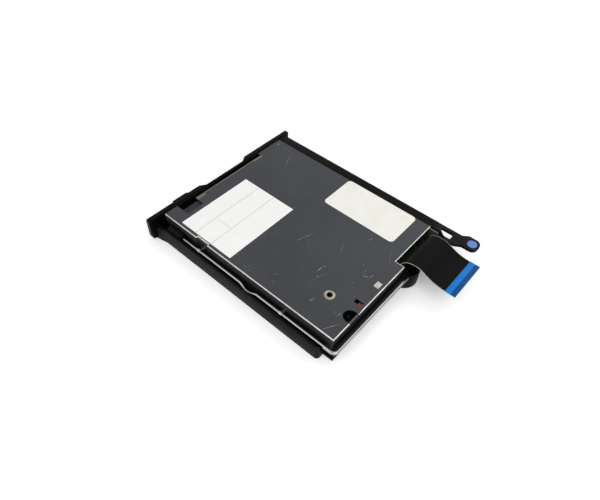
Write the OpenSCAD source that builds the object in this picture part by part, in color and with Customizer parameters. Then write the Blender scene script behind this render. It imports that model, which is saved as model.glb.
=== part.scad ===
// A slim 3.5 inch floppy disk drive in the tray that slides into a computer's bay.
// X runs to the user's right, Y to the rear and Z up. The origin is on the tray's underside, under the
// middle of the drive. The drive is drawn with no disk in it: holder up, heads apart, button in.

/* [Drive] */
// From the holder's inner width to the drive's side
side_room = 2.8; // [2.8:0.1:4]
// From the head arm's pivot to the cover's rear edge
rear_room = 13.8; // [13.8:0.1:18]
// Height of the drive
drive_h = 12.7; // [12.5:0.1:14]
// Thickness of the top cover's sheet
sheet_t = 0.5; // [0.3:0.05:0.6]
// Thickness of the base frame's walls
frame_t = 0.9; // [0.8:0.05:1]
// Thickness of the base frame's floor
frame_floor_t = 0.8; // [0.6:0.05:1]
// Height of the cover's side skirts
skirt_h = 4.5; // [3:0.1:5]
// Clearance between sliding pieces
slide_gap = 0.3; // [0.2:0.05:0.35]
// Radial clearance of a running fit
run_gap = 0.04; // [0.02:0.01:0.06]

/* [Cover] */
// How far the middle of the cover's front edge is set back
front_set = 2.4; // [1:0.1:3]
// Left end of the set-back edge, from the centre
set_left = 28; // [20:1:32]
// Right end of the set-back edge, from the centre
set_right = 27.2; // [20:0.1:27.6]
// Depth of the notch over the eject button
button_notch_l = 9.3; // [5:0.1:10]
// Width of the notch over the eject button
button_notch_w = 11.8; // [11:0.1:12]
// Depth of the rear recess where the cable leaves
cable_recess = 5.7; // [5:0.1:6]
// Distance of the recess's inner end from the centre
recess_x = 12.7; // [10:0.1:13]
// Width of the U notch in the rear edge
u_notch_w = 7.5; // [4:0.1:8]
// Depth of the U notch
u_notch_l = 6.3; // [3:0.1:7]
// Centre of the U notch, from the drive's centre
u_notch_x = 31.8; // [28:0.1:34]
// Width of the small slot near the rear edge
slit_w = 2.5; // [1:0.1:3]
// Length of the small slot
slit_l = 4.7; // [3:0.1:6]
// Centre of the small slot, from the drive's centre
slit_x = 22.4; // [18:0.1:24]
// Side notch's length
side_notch_l = 8.6; // [5:0.1:10]
// Side notch's middle, from the cover's front edge
side_notch_y = 31; // [25:0.5:35]
// Depth of the side notch
side_notch_d = 1.2; // [0.8:0.1:1.2]
// Diameter of the hollow rivet's flange
rivet_d = 6; // [4.5:0.1:7]
// Bore of the hollow rivet
rivet_bore = 2.9; // [2:0.1:3]
// Rivet's place to the right
rivet_x = 28.7; // [27:0.1:30]
// Rivet's place, in front of the cover's rear edge
rivet_in = 18.1; // [17:0.1:18.6]
// Width of the lanced tab
tab_w = 4; // [3:0.1:5]
// Length of the lanced tab
tab_l = 3; // [2:0.1:3]
// Centre of the lanced tab, from the drive's centre
tab_x = 7.1; // [5:0.1:10]

/* [Labels] */
// Width of the rating label
label_w = 50.5; // [40:0.5:52]
// Length of the rating label
label_l = 38.8; // [30:0.5:42]
// Left edge of the rating label, from the centre
label_x = -4.7; // [-10:0.1:-4]
// Front edge of the rating label, from the cover's front edge
label_y = 12.2; // [11:0.1:14]
// Width of the caution label
side_label_w = 25.8; // [20:0.1:28]
// Length of the caution label
side_label_l = 49; // [40:0.5:52]
// Front edge of the caution label, from the cover's front edge
side_label_y = 59.4; // [55:0.1:62]
// Thickness of a label
label_t = 0.12; // [0.08:0.01:0.2]
// Corner radius of the caution label
side_label_r = 2.5; // [1:0.1:4]

/* [Tray] */
// Thickness of the tray's floor
floor_t = 1.8; // [1.6:0.1:3]
// Width of each side rail, beyond the drive
rail_w = 6.3; // [6:0.1:8]
// Thickness of the rails' outer walls
rail_t = 1.3; // [1:0.1:1.5]
// Height of the right rail's wall
right_rail_h = 10; // [8:0.1:12]
// Gap between the drive and the rails and rear wall
tray_gap = 0.3; // [0.2:0.05:0.4]
// Thickness of the left rail's top flange
flange_t = 1.8; // [1.2:0.1:2.5]
// Thickness of the rear wall
rear_wall_t = 1.7; // [1.2:0.1:2]
// Height of the rear wall
rear_wall_h = 9; // [6:0.1:10]
// How far the rails stop short of the rear wall's face
rail_short = 5.8; // [5:0.1:7]
// Overhang of the rear block beyond the drive's right side
block_over = 1.8; // [1:0.1:2]
// Radius of the rounded boss behind the rear wall
boss_r = 8.5; // [7:0.1:9]
// How far the boss stands behind the rear wall
boss_out = 4.4; // [3:0.1:5]
// Centre of the boss, to the left of the drive's centre
boss_x = 18; // [17:0.1:24]
// Height of the boss
boss_h = 10.2; // [9.9:0.1:12]

/* [Bezel] */
// Width of the bezel with its ears
bezel_w = 116.8; // [114:0.2:120]
// Thickness of the bezel's ears
ear_t = 2.6; // [2:0.1:3]
// Thickness of the bezel's middle
bezel_t = 3.8; // [3.8:0.1:5]
// Height of the bezel over the cover's top
bezel_over = 0.5; // [0.3:0.1:1]
// Corner radius of the bezel's foot
bezel_r = 3; // [1:0.1:4]
// Play of the disk slot over the holder's inner width
slot_play = 0.8; // [0.6:0.1:1]
// Height of the disk slot
slot_h = 4.8; // [4.6:0.1:4.9]
// Plastic over the disk slot
slot_roof = 1.1; // [1:0.1:1.2]
// Width of the finger recess at the front
recess_w = 38; // [32:1:44]
// Width of the finger recess at its back
recess_in_w = 30.4; // [24:0.1:32]
// Depth of the finger recess
recess_d = 2.45; // [1:0.05:2.5]
// Bottom of the finger recess, over the tray's underside
recess_z = 5; // [3:0.1:7]
// Width of the bulge round the eject button
bulge_w = 11.3; // [11:0.1:13]
// How far the bulge stands forward
bulge_out = 1.1; // [0.5:0.1:1.5]
// Width of the eject button
button_w = 9.7; // [8:0.1:9.8]
// Height of the eject button
button_h = 5.1; // [4:0.1:5.2]
// Underside of the eject button, over the tray's underside
button_z = 3; // [2.9:0.05:3.1]
// Centre of the eject button, from the drive's centre
button_x = 33.25; // [33:0.05:34]
// How far the button stands out of the bulge
button_out = 0.4; // [0.2:0.1:1]
// Width of the activity lamp's window
lamp_w = 4; // [3:0.1:5]
// Height of the activity lamp's window
lamp_h = 1.6; // [1:0.1:2]
// Centre of the lamp, to the left of the drive's centre
lamp_x = 34; // [30:0.5:36]

/* [Latch] */
// Thickness of the latch arm
arm_t = 1.8; // [1.4:0.1:2]
// Length of the latch arm's level plate
arm_l = 15; // [14.5:0.1:17]
// Width of the latch arm at its window
arm_w = 10.3; // [9:0.1:10.6]
// Width of the window for the bay's catch
window_w = 4.7; // [4.4:0.1:5]
// Length of the window
window_l = 7.3; // [6.5:0.1:8]
// Rise of the end pad over the plate
pad_rise = 2.3; // [1.5:0.1:3]
// Length of the ramp up to the pad
ramp_l = 4; // [3:0.1:5]
// Length of the end pad
pad_l = 8; // [7:0.1:9]
// Width of the end pad
pad_w = 9.2; // [8:0.1:10]
// Side of the touch point
touch_w = 5.4; // [4:0.1:6]
// How far the touch point stands out of the pad
touch_out = 0.2; // [0.1:0.05:0.4]

/* [Retaining wire] */
// Diameter of the wire
wire_d = 2; // [1.6:0.1:2.2]
// Centre of the wire, beyond the drive's right side
wire_x = 2.4; // [2.2:0.1:2.7]
// Height of the wire's centre
wire_z = 8.2; // [7.8:0.1:8.6]
// Middle of the V kink, from the cover's front edge
kink_y = 69; // [60:1:80]
// Half length of the V kink
kink_l = 6; // [4:0.5:8]
// Depth of the V kink, outwards and downwards
kink_d = 1.2; // [0.6:0.1:1.3]
// Radius of the bend at the rear corner
wire_bend = 2.6; // [2:0.1:3]
// Length of the clip block that holds the wire's front end
clip_l = 11; // [8:0.5:13]
// Front of the clip block, from the cover's front edge
clip_y = 6; // [5:0.5:8]
// Diameter of the pins in the drive's side holes
pin_d = 2.2; // [1.8:0.1:2.4]
// Front side hole, from the cover's front edge
hole_front = 31; // [28:1:34]
// From the front side hole to the rear one
hole_pitch = 61; // [58:1:62]

/* [Cable] */
// Width of the flat cable
cable_w = 27; // [26:0.1:28]
// Thickness of the flat cable
cable_t = 0.3; // [0.2:0.02:0.36]
// Centre of the cable, to the left of the drive's centre
cable_x = 28; // [27.5:0.1:28.5]
// Reach of the cable, from its connector to the stiffener
cable_reach = 27.4; // [24:0.1:29]
// Rise of the cable's loop over the cover
cable_rise = 2.9; // [2.4:0.1:3.2]
// Length of the blue stiffener
stiffener_l = 6; // [4:0.1:8]
// Thickness of the blue stiffener
stiffener_t = 0.25; // [0.15:0.05:0.3]
// Number of conductors
conductors = 26; // [20:1:26]
// Length of the connector's body, front to rear
connector_l = 3.4; // [3:0.1:3.6]
// Height of the connector's body
connector_h = 3.8; // [3:0.1:4.2]

/* [Disk holder] */
// Width inside the holder, which is the disk's 90 mm and its play
holder_in_w = 90.4; // [90.3:0.05:90.5]
// Height inside the holder
holder_in_h = 3.5; // [3.4:0.05:3.6]
// Thickness of the holder's sheet
holder_t = 0.35; // [0.3:0.05:0.4]
// How far the holder drops
drop = 2.4; // [2:0.1:2.4]
// Travel of the eject button and slide plate
eject_travel = 5.5; // [4.5:0.1:5.5]
// Thickness of the slide plate
slide_t = 0.5; // [0.4:0.05:0.5]
// Width of the slide plate's arms
slide_arm_w = 4.8; // [4:0.1:5]
// Diameter of the holder's guide pins
guide_pin_d = 1.8; // [1.4:0.1:2]
// Front guide pins, from the cover's front edge
guide_front = 26; // [24:1:28]
// From the front guide pins to the rear ones
guide_pitch = 54; // [48:1:55]
// Half width of the notch for the head arm
head_notch = 7.8; // [7.8:0.1:8]
// Distance from the shutter lever's pivot to its finger
lever_l = 30; // [29:0.1:30.5]
// Swing of the shutter lever, in degrees
lever_swing = 62; // [50:1:64]

/* [Spindle] */
// Spindle's place, from the cover's front edge
spindle_y = 45; // [44:0.5:46]
// Radius of the rotor
rotor_r = 19; // [18.5:0.1:19]
// Radius of the hub's turntable
hub_r = 12.5; // [11:0.1:13]
// Height of the turntable's top face
hub_z = 7.4; // [7.3:0.05:7.5]
// Radius of the spindle shaft
shaft_r = 1.5; // [1.3:0.1:1.7]
// Number of stator poles
poles = 9; // [9:1:12]
// Travel of the drive pin
drive_pin_travel = 0.6; // [0.4:0.1:0.6]

/* [Heads] */
// Radius of the outermost track
track_r = 39.5; // [39:0.1:40]
// Travel of the head carriage
head_travel = 14.8; // [14:0.1:14.8]
// Length of the upper head arm, from the heads to its pivot
arm_reach = 25; // [24.6:0.1:25.4]
// Radius of the guide rod
rod_r = 1; // [0.8:0.05:1]
// Guide rod, to the left of the drive's centre
rod_x = 9; // [9:0.1:9.2]
// Height of the guide rod's axis
rod_z = 5.2; // [5.1:0.05:5.3]
// Lead screw, to the right of the drive's centre
screw_x = 14; // [14:0.1:14.2]
// Radius of the lead screw's shank
screw_r = 0.9; // [0.7:0.05:0.9]
// Depth of the lead screw's groove
screw_throw = 0.2; // [0.15:0.01:0.2]
// Lead of the screw, for one turn
screw_lead = 3; // [2.5:0.1:3.5]
// Radius of the stepper motor's can
stepper_r = 3.4; // [3:0.1:3.45]
// Length of the stepper motor's can
stepper_l = 13; // [11:0.1:13.2]

/* [Boards] */
// Thickness of the main board
board_t = 1; // [0.8:0.05:1]
// Height of the posts under the main board
post_h = 0.8; // [0.6:0.05:0.9]
// Length of the main board's side parts
board_l = 22.8; // [21:0.1:23]
// Thickness of the motor board
motor_board_t = 0.7; // [0.5:0.05:0.8]

/* [Hidden] */
$fn = 48;

// The length is what the mechanism needs, and the width what the holder needs
head_y = spindle_y + track_r;
arm_pivot_y = head_y + arm_reach;
drive_l = arm_pivot_y + rear_room;
drive_w = holder_in_w + 2*side_room;
slot_w = holder_in_w + slot_play;
hole_rear = hole_front + hole_pitch;
guide_rear = guide_front + guide_pitch;
rivet_y = drive_l - rivet_in;

// Levels, over the tray's underside
drive_z = floor_t;
top_z = drive_z + drive_h;
lid_z = top_z - sheet_t;
deck_z = drive_z + frame_floor_t;
// How far cuts run past what they cut
cut = 1;

// Faces of the drive and of the tray
front = -drive_l/2;
rear = drive_l/2;
half_w = drive_w/2;
wall_x = half_w - sheet_t;
bay_x = wall_x - frame_t;
tray_half = half_w + rail_w;
rail_in = half_w + tray_gap;
bezel_front = front - bezel_t;
ear_back = bezel_front + ear_t;
rear_wall_y = rear + tray_gap;
tray_rear = rear_wall_y + rear_wall_t;
rail_rear = tray_rear - rail_short;
bezel_top = top_z + bezel_over;
slot_top = bezel_top - slot_roof;
slot_z = slot_top - slot_h;

// The retaining wire's line
wire_r = wire_d/2;
wire_line_x = half_w + wire_x;
wire_line_y = tray_rear + wire_r + tray_gap;
wire_front = front + clip_y + wire_d;
wire_end_x = -boss_x + wire_d;
wire_under = wire_z - wire_r - tray_gap;

// The slot's flap
flap_t = 0.8;
flap_play = 0.3;
flap_pin_r = 0.4;
flap_y = front - flap_t/2 - flap_play/2;
flap_axis_z = slot_top - flap_t/2 - flap_play/2;
flap_pin_l = 1;

// The holder, with room over it for the shutter lever
lever_room = 0.55;
holder_x = holder_in_w/2 + holder_t;
holder_top = lid_z - lever_room;
holder_z = holder_top - holder_in_h - 2*holder_t;
holder_inset = 4.2;
holder_short = 11.5;
holder_front = front + holder_inset;
holder_rear = front + arm_pivot_y - holder_short;
holder_lip = 4.35;
guide_down = 2;
guide_z = holder_top - guide_down;

// The slide plate, under and beside the holder
slide_z = deck_z + slide_gap;
slide_top = slide_z + slide_t;
slide_out = bay_x - slide_gap;
slide_in = holder_x + slide_gap;

// Shared shapes

// A cuboid between two opposite corners
module block(low, high) {
    translate(low) cube(high - low);
}

// A flat outline, given its thickness between two levels
module slab(low_z, high_z) {
    translate([0, 0, low_z]) linear_extrude(high_z - low_z) children();
}

// A round bar along X
module bar_x(from_x, to_x, radius, y, z) {
    translate([from_x, y, z]) rotate([0, 90, 0]) cylinder(r = radius, h = to_x - from_x);
}

// A round bar along Y
module bar_y(from_y, to_y, radius, x, z) {
    translate([x, from_y, z]) rotate([-90, 0, 0]) cylinder(r = radius, h = to_y - from_y);
}

// A round bar along Z
module bar_z(x, y, radius, from_z, to_z) {
    translate([x, y, from_z]) cylinder(r = radius, h = to_z - from_z);
}

// A piece on the right, and its mirror image on the left
module both_sides() {
    children();
    mirror([1, 0, 0]) children();
}

// A rectangle with round corners, about its centre
module rounded(size, radius) {
    square([size[0] - 2*radius, size[1]], center = true);
    square([size[0], size[1] - 2*radius], center = true);
    for (sx = [-1, 1], sy = [-1, 1]) {
        translate([sx*(size[0]/2 - radius), sy*(size[1]/2 - radius)]) circle(r = radius);
    }
}

// A slot with round ends between two points
module long_hole(from, to, radius) {
    span = to - from;
    translate(from) circle(r = radius);
    translate(to) circle(r = radius);
    translate(from) rotate(atan2(span[1], span[0])) translate([0, -radius]) square([norm(span), 2*radius]);
}

// Points of an arc
function arc(centre, radius, from, to, steps = 10) =
    [for (i = [0:steps]) centre + radius*[cos(from + (to - from)*i/steps), sin(from + (to - from)*i/steps)]];

// The tray

// Outline of the tray's floor, with the rails' rear ends rounded
function tray_outline() = concat(
    [[-tray_half, ear_back], [-rail_in, ear_back], [-rail_in, front], [rail_in, front], [rail_in, ear_back],
     [tray_half, ear_back]],
    arc([tray_half - wire_d, rail_rear - wire_d], wire_d, 0, 90),
    [[half_w + block_over, rail_rear], [half_w + block_over, tray_rear], [-half_w, tray_rear],
     [-half_w, rail_rear], [-tray_half, rail_rear]]);

// The strip of the outline that lies beside the drive on the right
module right_rail_plan() {
    intersection() {
        polygon(tray_outline());
        translate([rail_in, ear_back]) square([rail_w, rail_rear - ear_back]);
    }
}

tray_foot = 0.6;
gusset_l = 7.7;
gusset_h = 9.5;
left_pin_root_r = 2;
floor_slot_l = 12;
floor_slot_r = 1.6;
floor_slot_y = [-0.34, -0.12, 0.12, 0.34];
hinge_r = arm_t/2;
hinge_z = top_z - hinge_r;
hinge_y = rail_rear;

module tray() {
    color("#1b1a18") difference() {
        union() {
            slab(0, floor_t) polygon(tray_outline());
            // right rail: a low outer wall, closed at its rear end under the wire
            slab(0, right_rail_h) difference() {
                right_rail_plan();
                translate([rail_in - cut, ear_back - cut]) square([rail_w - tray_gap - rail_t + cut, drive_l*2]);
            }
            slab(0, wire_under) difference() {
                right_rail_plan();
                translate([rail_in - cut, ear_back - cut])
                    square([rail_w - tray_gap - rail_t + cut, rail_rear - rail_t - ear_back + cut]);
            }
            // left rail: an outer wall as high as the drive, with a flange over the gap
            block([-tray_half, ear_back, 0], [-tray_half + rail_t, rail_rear, top_z]);
            block([-tray_half, ear_back, top_z - flange_t], [-rail_in, rail_rear, top_z]);
            block([-tray_half, rail_rear - rail_t, 0], [-rail_in, rail_rear, top_z]);
            // rear wall and the boss for the wire's end
            block([-half_w, rear_wall_y, 0], [wire_line_x - wire_r - tray_gap, tray_rear, rear_wall_h]);
            slab(0, boss_h) intersection() {
                translate([-boss_x, tray_rear + boss_out - boss_r]) circle(r = boss_r);
                translate([-boss_x - boss_r, rear_wall_y]) square(2*boss_r);
            }
            // fixed pins in the drive's left side holes
            for (y = [hole_front, hole_rear]) {
                bar_x(-tray_half + rail_t/2, -bay_x - tray_gap, pin_d/2, front + y, wire_z);
                bar_x(-tray_half + rail_t/2, -rail_in, left_pin_root_r, front + y, wire_z);
            }
            // gussets behind the bezel's ears
            both_sides() slab(0, gusset_h)
                polygon([[tray_half - rail_t, ear_back], [tray_half + 0.5*ear_t, ear_back],
                         [tray_half + 0.4*ear_t, ear_back + 0.3*gusset_l],
                         [tray_half, ear_back + gusset_l], [tray_half - rail_t, ear_back + gusset_l]]);
        }
        // round seat for the latch arm's root
        bar_x(-tray_half - cut, -rail_in + cut, hinge_r + run_gap, hinge_y, hinge_z);
        // bore for the wire's end
        bar_x(wire_end_x - run_gap, boss_x, wire_r + run_gap, wire_line_y, wire_z);
        // slots in the floor
        for (share = floor_slot_y, side = [-1, 1]) {
            translate([side*half_w/2, share*drive_l, -cut]) linear_extrude(floor_t + 2*cut)
                long_hole([-floor_slot_l/2, 0], [floor_slot_l/2, 0], floor_slot_r);
        }
        // groove under each rail that rides on the bay's guides
        both_sides() block([rail_in + rail_t, front + gusset_l, -cut],
                           [rail_in + 2*rail_t, rail_rear - gusset_l, tray_foot]);
    }
}

// The bezel

bezel_edge_r = 0.8;
bulge_foot = 0.6;
bulge_r = 1;
lamp_z = 4.4;
window_play = 0.3;
bezel_rim = bezel_top - bezel_edge_r;

// Front outline of the bezel: round feet, nearly square top corners
function bezel_outline() = concat(
    arc([bezel_w/2 - bezel_r, bezel_r], bezel_r, -90, 0),
    arc([bezel_w/2 - bezel_edge_r, bezel_rim], bezel_edge_r, 0, 90, 4),
    arc([-bezel_w/2 + bezel_edge_r, bezel_rim], bezel_edge_r, 90, 180, 4),
    arc([-bezel_w/2 + bezel_r, bezel_r], bezel_r, 180, 270));

module front_bezel() {
    color("#14130f") difference() {
        union() {
            translate([0, ear_back, 0]) rotate([90, 0, 0]) linear_extrude(ear_t) polygon(bezel_outline());
            block([-half_w, bezel_front + bezel_edge_r, 0], [half_w, front, top_z]);
            translate([button_x, bezel_front - bulge_out/2 + bezel_edge_r, bulge_foot])
                linear_extrude(bezel_top - bulge_foot - bezel_edge_r/4)
                    rounded([bulge_w, bulge_out + 2*bezel_edge_r], bulge_r);
        }
        // disk slot, with its edges flared to the front
        block([-slot_w/2, bezel_front - 2*bulge_out, slot_z], [slot_w/2, front + cut, slot_top]);
        // finger recess, open at the top
        slab(recess_z, bezel_top + cut) polygon([
            [-recess_w/2 - cut, bezel_front - cut], [recess_w/2 + cut, bezel_front - cut],
            [recess_w/2, bezel_front], [recess_in_w/2, bezel_front + recess_d],
            [-recess_in_w/2, bezel_front + recess_d], [-recess_w/2, bezel_front]]);
        // windows for the button and the lamp
        block([button_x - button_w/2 - window_play, bezel_front - 2*bulge_out, button_z - window_play],
              [button_x + button_w/2 + window_play, front + cut, button_z + button_h + window_play]);
        block([-lamp_x - lamp_w/2 - run_gap, bezel_front - cut, lamp_z - run_gap],
              [-lamp_x + lamp_w/2 + run_gap, front + cut, lamp_z + lamp_h + run_gap]);
        // bores for the flap's pins
        bar_x(-slot_w/2 - flap_pin_l - flap_play, slot_w/2 + flap_pin_l + flap_play,
              flap_pin_r + run_gap, flap_y, flap_axis_z);
    }
}

module slot_flap() {
    color("#191815") {
        block([-slot_w/2 + flap_play, flap_y - flap_t/2, slot_z + flap_play],
              [slot_w/2 - flap_play, flap_y + flap_t/2, flap_axis_z]);
        bar_x(-slot_w/2 - flap_pin_l, slot_w/2 + flap_pin_l, flap_pin_r, flap_y, flap_axis_z);
    }
}

flap_spring_r = 0.1;
flap_spring_l = 5.6;

module flap_spring() {
    color("silver") bar_x(slot_w/2 - flap_spring_l, slot_w/2, flap_spring_r, front + flap_spring_r, lid_z - flap_spring_r);
}

button_back = 0.6;
stem_w = 4.5;

module eject_button() {
    color("#1f1e1b") {
        block([button_x - button_w/2, bezel_front - bulge_out - button_out, button_z],
              [button_x + button_w/2, front - button_back, button_z + button_h]);
        block([button_x - stem_w/2, front - button_back, slide_top],
              [button_x + stem_w/2, front + bridge_y + bridge_l, slide_top + stem_w/3]);
    }
}

lamp_depth = 2.6;
lamp_flange = 0.6;

module lamp_lens() {
    color("#7fd04a") {
        block([-lamp_x - lamp_w/2, bezel_front, lamp_z], [-lamp_x + lamp_w/2, front, lamp_z + lamp_h]);
    }
}

module activity_lamp() {
    color("#d8e8c8") block([-lamp_x - lamp_w/2, front, lamp_z - lamp_flange],
                           [-lamp_x + lamp_w/2, front + frame_t + lamp_depth, lamp_z + lamp_h + lamp_flange]);
}

// The drive's casing

hole_play = 0.1;
hole_r = pin_d/2 + hole_play;
front_wall_h = slot_z - slide_gap;
rear_low_h = 9;
jog_h = 4;
rivet_wall = 0.5;
rivet_post_wall = 1;
rivet_shank_r = rivet_bore/2 + rivet_wall;
rivet_post_r = rivet_shank_r + rivet_post_wall;
rivet_flange_t = 0.35;
board_post_r = 2;
thread_r = 0.8;
// Posts under the main board, as shares of the half width and of the board's length before the rear
post_shares = [[-0.875, -0.933], [0.875, -0.933], [-0.167, -0.167]];
board_posts = [for (s = post_shares) [s[0]*half_w, rear + s[1]*board_l]];
board_z = deck_z + post_h;
board_top = board_z + board_t;
hook_w = 3;
hook_t = 1;
hook_h = 3.2;
spring_in = 7.5;
spring_x = slide_out - spring_in;
spring_l = 23.8;
spring_lead = 4;
spring_front = spindle_y - spring_lead;
spring_rear = spring_front + spring_l;
stepper_in = 5.5;
stepper_front = arm_pivot_y - stepper_in;
screw_rise = 0.2;
screw_z = rod_z + screw_rise;
guide_slot_r = guide_pin_d/2 + slide_gap/2;

module base_frame() {
    color("#8f9296") difference() {
        union() {
            block([-wall_x, front, drive_z], [wall_x, rear, deck_z]);
            both_sides() block([bay_x, front, drive_z], [wall_x, rear, lid_z]);
            block([-bay_x, front, drive_z], [bay_x, front + frame_t, front_wall_h]);
            // rear wall, low where the cable leaves
            block([-recess_x, rear - frame_t, drive_z], [bay_x, rear, lid_z]);
            block([-bay_x, rear - frame_t, drive_z], [-recess_x, rear, rear_low_h]);
            block([-recess_x, rear - cable_recess, lid_z - jog_h], [-recess_x + frame_t, rear, lid_z]);
            // posts for the boards and the rivet
            for (p = board_posts) bar_z(p[0], p[1], board_post_r, drive_z, board_z);
            bar_z(rivet_x, front + rivet_y, rivet_post_r, drive_z, lid_z);
            // hooks for the eject springs
            both_sides() block([spring_x - hook_w/2, front + spring_front - hook_t, drive_z],
                               [spring_x + hook_w/2, front + spring_front, slide_top + hook_h]);
        }
        for (p = board_posts) bar_z(p[0], p[1], thread_r, drive_z - cut, board_z + cut);
        bar_z(rivet_x, front + rivet_y, rivet_shank_r + run_gap, drive_z - cut, lid_z + cut);
        // upright slots for the holder's pins
        both_sides() for (y = [guide_front, guide_rear]) {
            translate([bay_x - cut, 0, 0]) rotate([90, 0, 90]) linear_extrude(frame_t + 2*cut)
                long_hole([front + y, guide_z - drop], [front + y, guide_z], guide_slot_r);
        }
        // side holes, by which the drive is held
        both_sides() for (y = [hole_front, hole_rear]) {
            bar_x(bay_x - cut, half_w + cut, hole_r, front + y, wire_z);
        }
        // windows for the button's stem and the lamp
        block([button_x - stem_w/2 - slide_gap, front - cut, slide_z - slide_gap/2],
              [button_x + stem_w/2 + slide_gap, front + frame_t + cut, slide_top + stem_w/3 + slide_gap]);
        block([-lamp_x - lamp_w/2 - run_gap, front - cut, lamp_z - lamp_flange - run_gap],
              [-lamp_x + lamp_w/2 + run_gap, front + frame_t + cut, lamp_z + lamp_h + lamp_flange + run_gap]);
        // opening under the stepper motor
        block([screw_x - stepper_r - slide_gap, front + stepper_front, drive_z - cut],
              [screw_x + stepper_r + slide_gap, front + stepper_front + stepper_l + slide_gap, deck_z + cut]);
    }
}

tab_h = 0.25;

// Outline of the cover, from the front right corner round to the left
function cover_outline() = concat(
    [[half_w, front], [half_w, front + side_notch_y - side_notch_l/2],
     [half_w - side_notch_d, front + side_notch_y - side_notch_l/2],
     [half_w - side_notch_d, front + side_notch_y + side_notch_l/2],
     [half_w, front + side_notch_y + side_notch_l/2],
     [half_w, rear], [u_notch_x + u_notch_w/2, rear]],
    arc([u_notch_x, rear - u_notch_l + u_notch_w/2], u_notch_w/2, 0, -180),
    [[u_notch_x - u_notch_w/2, rear], [-recess_x, rear], [-recess_x, rear - cable_recess],
     [-half_w, rear - cable_recess], [-half_w, front], [-set_left, front], [-set_left, front + front_set],
     [set_right, front + front_set], [set_right, front + button_notch_l],
     [set_right + button_notch_w, front + button_notch_l], [set_right + button_notch_w, front]]);

module top_cover() {
    color("#4d4f53") difference() {
        union() {
            slab(lid_z, top_z) polygon(cover_outline());
            // side skirts, cut away under the notch
            block([wall_x, front, lid_z - skirt_h], [half_w, front + side_notch_y - side_notch_l/2, lid_z]);
            block([wall_x, front + side_notch_y + side_notch_l/2, lid_z - skirt_h], [half_w, rear, lid_z]);
            block([-half_w, front, lid_z - skirt_h], [-wall_x, rear - cable_recess, lid_z]);
            // lanced tab
            block([tab_x - tab_w/2, rear - tab_w/2 - tab_l, top_z], [tab_x + tab_w/2, rear - tab_w/2, top_z + tab_h]);
        }
        bar_z(rivet_x, front + rivet_y, rivet_shank_r + run_gap, lid_z - cut, top_z + cut);
        block([slit_x - slit_w/2, rear - tab_w/2 - slit_l, lid_z - cut], [slit_x + slit_w/2, rear - tab_w/2, top_z + cut]);
    }
}

module cover_rivet() {
    color("#d9d9d6") difference() {
        union() {
            bar_z(rivet_x, front + rivet_y, rivet_shank_r, deck_z, top_z + rivet_flange_t);
            bar_z(rivet_x, front + rivet_y, rivet_d/2, top_z, top_z + rivet_flange_t);
        }
        bar_z(rivet_x, front + rivet_y, rivet_bore/2, deck_z - cut, top_z + cut);
    }
}

module rating_label() {
    color("white") block([label_x, front + label_y, top_z], [label_x + label_w, front + label_y + label_l, top_z + label_t]);
}

module caution_label() {
    color("#f0f0e8") translate([-half_w + side_label_w/2, front + side_label_y + side_label_l/2, top_z])
        linear_extrude(label_t) rounded([side_label_w, side_label_l], side_label_r);
}

// The wire that holds the drive in the tray

kink_half = kink_l/2;
kink_points = [[0, -kink_l], [1, -kink_half/3], [1, kink_half/3], [0, kink_l]];

// A round wire through points, with round joints
module wire_through(points) {
    for (i = [0:len(points) - 2]) {
        span = points[i + 1] - points[i];
        translate(points[i]) rotate([0, acos(span[2]/norm(span)), atan2(span[1], span[0])])
            cylinder(r = wire_r, h = norm(span));
        if (i > 0) translate(points[i]) sphere(r = wire_r);
    }
}

module retaining_wire() {
    color("#c9cacc") {
        wire_through(concat(
            [[wire_line_x, wire_front, wire_z]],
            [for (k = kink_points) [wire_line_x + k[0]*kink_d, front + kink_y + k[1], wire_z - k[0]*kink_d]],
            [[wire_line_x, wire_line_y - wire_bend, wire_z]]));
        translate([wire_line_x - wire_bend, wire_line_y - wire_bend, wire_z])
            rotate_extrude(angle = 90) translate([wire_bend, 0]) circle(r = wire_r);
        bar_x(wire_end_x, wire_line_x - wire_bend, wire_r, wire_line_y, wire_z);
    }
}

clip_w = 4.4;
clip_roof = 1.2;
clip_top = wire_z + wire_r + clip_roof;
ribs = 4;

module wire_clip() {
    color("#232220") difference() {
        union() {
            block([rail_in, front + clip_y, floor_t], [rail_in + clip_w, front + clip_y + clip_l, clip_top]);
            for (i = [0:ribs - 1]) {
                block([rail_in, front + clip_y + (i + 0.25)*clip_l/ribs, clip_top],
                      [rail_in + clip_w, front + clip_y + (i + 0.75)*clip_l/ribs, clip_top + tray_gap]);
            }
        }
        bar_y(wire_front, front + clip_y + clip_l + cut, wire_r + run_gap, wire_line_x, wire_z);
    }
}

collar_wall = 0.6;
collar_r = wire_r + collar_wall;
collar_l = 2.4;

module retaining_pins() {
    color("#2a2926") for (y = [hole_front, hole_rear]) difference() {
        union() {
            bar_y(front + y - collar_l/2, front + y + collar_l/2, collar_r, wire_line_x, wire_z);
            bar_x(bay_x + tray_gap, wire_line_x, pin_d/2, front + y, wire_z);
        }
        bar_y(front + y - collar_l, front + y + collar_l, wire_r + run_gap, wire_line_x, wire_z);
    }
}

// The latch arm, whose root turns in the left rail's round seat

arm_in = -tray_half + arm_w;
window_bar = 2.6;
window_in = 3.8;
window_y = rail_rear + window_in;
plate_rear = rail_rear + arm_l;
ramp_rear = plate_rear + ramp_l;
pad_rear = ramp_rear + pad_l;
pad_r = 3.6;
pad_top = top_z + pad_rise;
touch_depth = 0.6;
touch_r = 2.4;
touch_y = pad_rear - pad_l/2 + run_gap;
touch_x = -tray_half + pad_w/2;

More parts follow.
